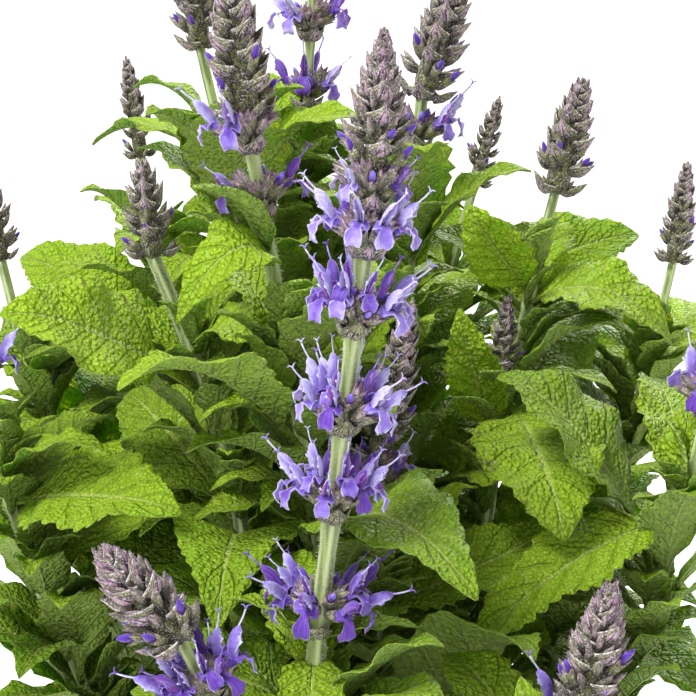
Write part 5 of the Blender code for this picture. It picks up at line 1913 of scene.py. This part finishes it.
class SAGE_OT_stalks(bpy.types.Operator):
    """Makes the square stalks and the hairs on those that stand in front"""

    bl_idname = "sage.stalks"
    bl_label = "Stalks"

    def execute(self, context):
        green = stalk_finish()
        settings = context.scene.sage_stalks
        for number, shoot in enumerate(SHOOTS):
            stalk = stalk_object(shoot, leaf_layout()[0], [green])
            if shoot.foot[1] < 0:
                hairs = spread_over("hair_" + shoot.name, stalk, "hair", head_materials()["hair"],
                                    settings.hair_length, settings.hair_density, number,
                                    (shoot.waist[2] - 45) * MM)
                stalk = joined("stalk_" + shoot.name, [stalk, hairs])
            handed_in(stalk, "leaf_green", "stem_" + shoot.name)
        return {"FINISHED"}


class SAGE_OT_leaves(bpy.types.Operator):
    """Makes the large leaves and the young ones in their axils"""

    bl_idname = "sage.leaves"
    bl_label = "Leaves"

    def execute(self, context):
        leaves, taken = leaf_layout()
        taken = taken + [(None, front_corridor())]
        filling = [leaf for shoot in SHOOTS for leaf in filling_leaves(shoot)]
        taken += [("leaf", search_tree(*leaf_mesh(leaf))) for leaf in filling]
        for shoot in SHOOTS:
            chance = random.Random("young " + shoot.name)
            own = [leaf for leaf in leaves + filling if leaf.shoot == shoot.name]
            own += side_leaves(shoot, taken, chance)
            if shoot.name == "front":
                own += leafy_bracts(shoot)
            large = large_leaves(shoot, own, leaf_materials())
            rows = young_leaf_rows(shoot, leaves, taken, chance)
            young = scattered("young_" + shoot.name, rows, "young_leaf", 1.0, *leaf_materials())
            handed_in(joined("foliage_" + shoot.name, [large, young]), "leaf_green", "stem_" + shoot.name)
        return {"FINISHED"}


class SAGE_OT_blooms(bpy.types.Operator):
    """Makes the whorls of open flowers"""

    bl_idname = "sage.blooms"
    bl_label = "Open flowers"

    def execute(self, context):
        for shoot in SHOOTS:
            if shoot.whorls:
                blooms = bloom_object(shoot)
                nodes = [f"flowers_{shoot.name}_{number + 1}" for number in range(len(shoot.whorls))]
                handed_in(blooms, "petal_violet", *nodes)
        return {"FINISHED"}


class SAGE_OT_spikes(bpy.types.Operator):
    """Makes the spikes of unopened buds"""

    bl_idname = "sage.spikes"
    bl_label = "Bud spikes"

    def execute(self, context):
        for shoot in SHOOTS:
            spike = spike_object(shoot)
            if shoot.name in NEAREST:
                hairs = spread_over("frost_" + shoot.name, spike, "hair", head_materials()["hair"],
                                    FROST_LENGTH, context.scene.sage_spikes.hairs, 5, 0.0)
                spike = joined(spike.name, [spike, hairs])
            handed_in(spike, "bract_mauve", "spike_" + shoot.name)
        return {"FINISHED"}


class SAGE_OT_stage(bpy.types.Operator):
    """Sets the pale floor, the soft light and the camera"""

    bl_idname = "sage.stage"
    bl_label = "Floor, light and camera"

    def execute(self, context):
        make_floor()
        make_lights()
        make_camera()
        return {"FINISHED"}


class SAGE_PT_panel(bpy.types.Panel):
    """Lists what the add-on makes, with its settings"""

    bl_idname = "SAGE_PT_panel"
    bl_label = "Potted woodland sage"
    bl_space_type = "VIEW_3D"
    bl_region_type = "UI"
    bl_category = "Sage"

    def draw(self, context):
        for settings, steps in PANEL_ROWS:
            box = self.layout.box()
            for step in steps:
                box.operator(step.bl_idname)
            if settings:
                group = getattr(context.scene, settings)
                for name in group.__annotations__:
                    box.prop(group, name)


SETTINGS = {
    "sage_pot": SagePotSettings,
    "sage_stalks": SageStalkSettings,
    "sage_leaves": SageLeafSettings,
    "sage_flowers": SageFlowerSettings,
    "sage_spikes": SageSpikeSettings,
}
PANEL_ROWS = (
    ("sage_pot", (SAGE_OT_pot, SAGE_OT_compost)),
    ("sage_stalks", (SAGE_OT_stalks,)),
    ("sage_leaves", (SAGE_OT_leaves,)),
    ("sage_flowers", (SAGE_OT_blooms,)),
    ("sage_spikes", (SAGE_OT_spikes,)),
    (None, (SAGE_OT_stage,)),
)
OPERATORS = [step for _, steps in PANEL_ROWS for step in steps]


def register():
    for made in (*SETTINGS.values(), *OPERATORS, SAGE_PT_panel):
        bpy.utils.register_class(made)
    for name, group in SETTINGS.items():
        setattr(bpy.types.Scene, name, PointerProperty(type=group))


def unregister():
    for name in SETTINGS:
        delattr(bpy.types.Scene, name)
    for made in reversed((*SETTINGS.values(), *OPERATORS, SAGE_PT_panel)):
        bpy.utils.unregister_class(made)


def main():
    register()
    for step in OPERATORS:
        group, name = step.bl_idname.split(".")
        getattr(getattr(bpy.ops, group), name)()
    for pattern in KEPT.pop("patterns").values():
        bpy.data.objects.remove(pattern)


if __name__ == "__main__":
    main()
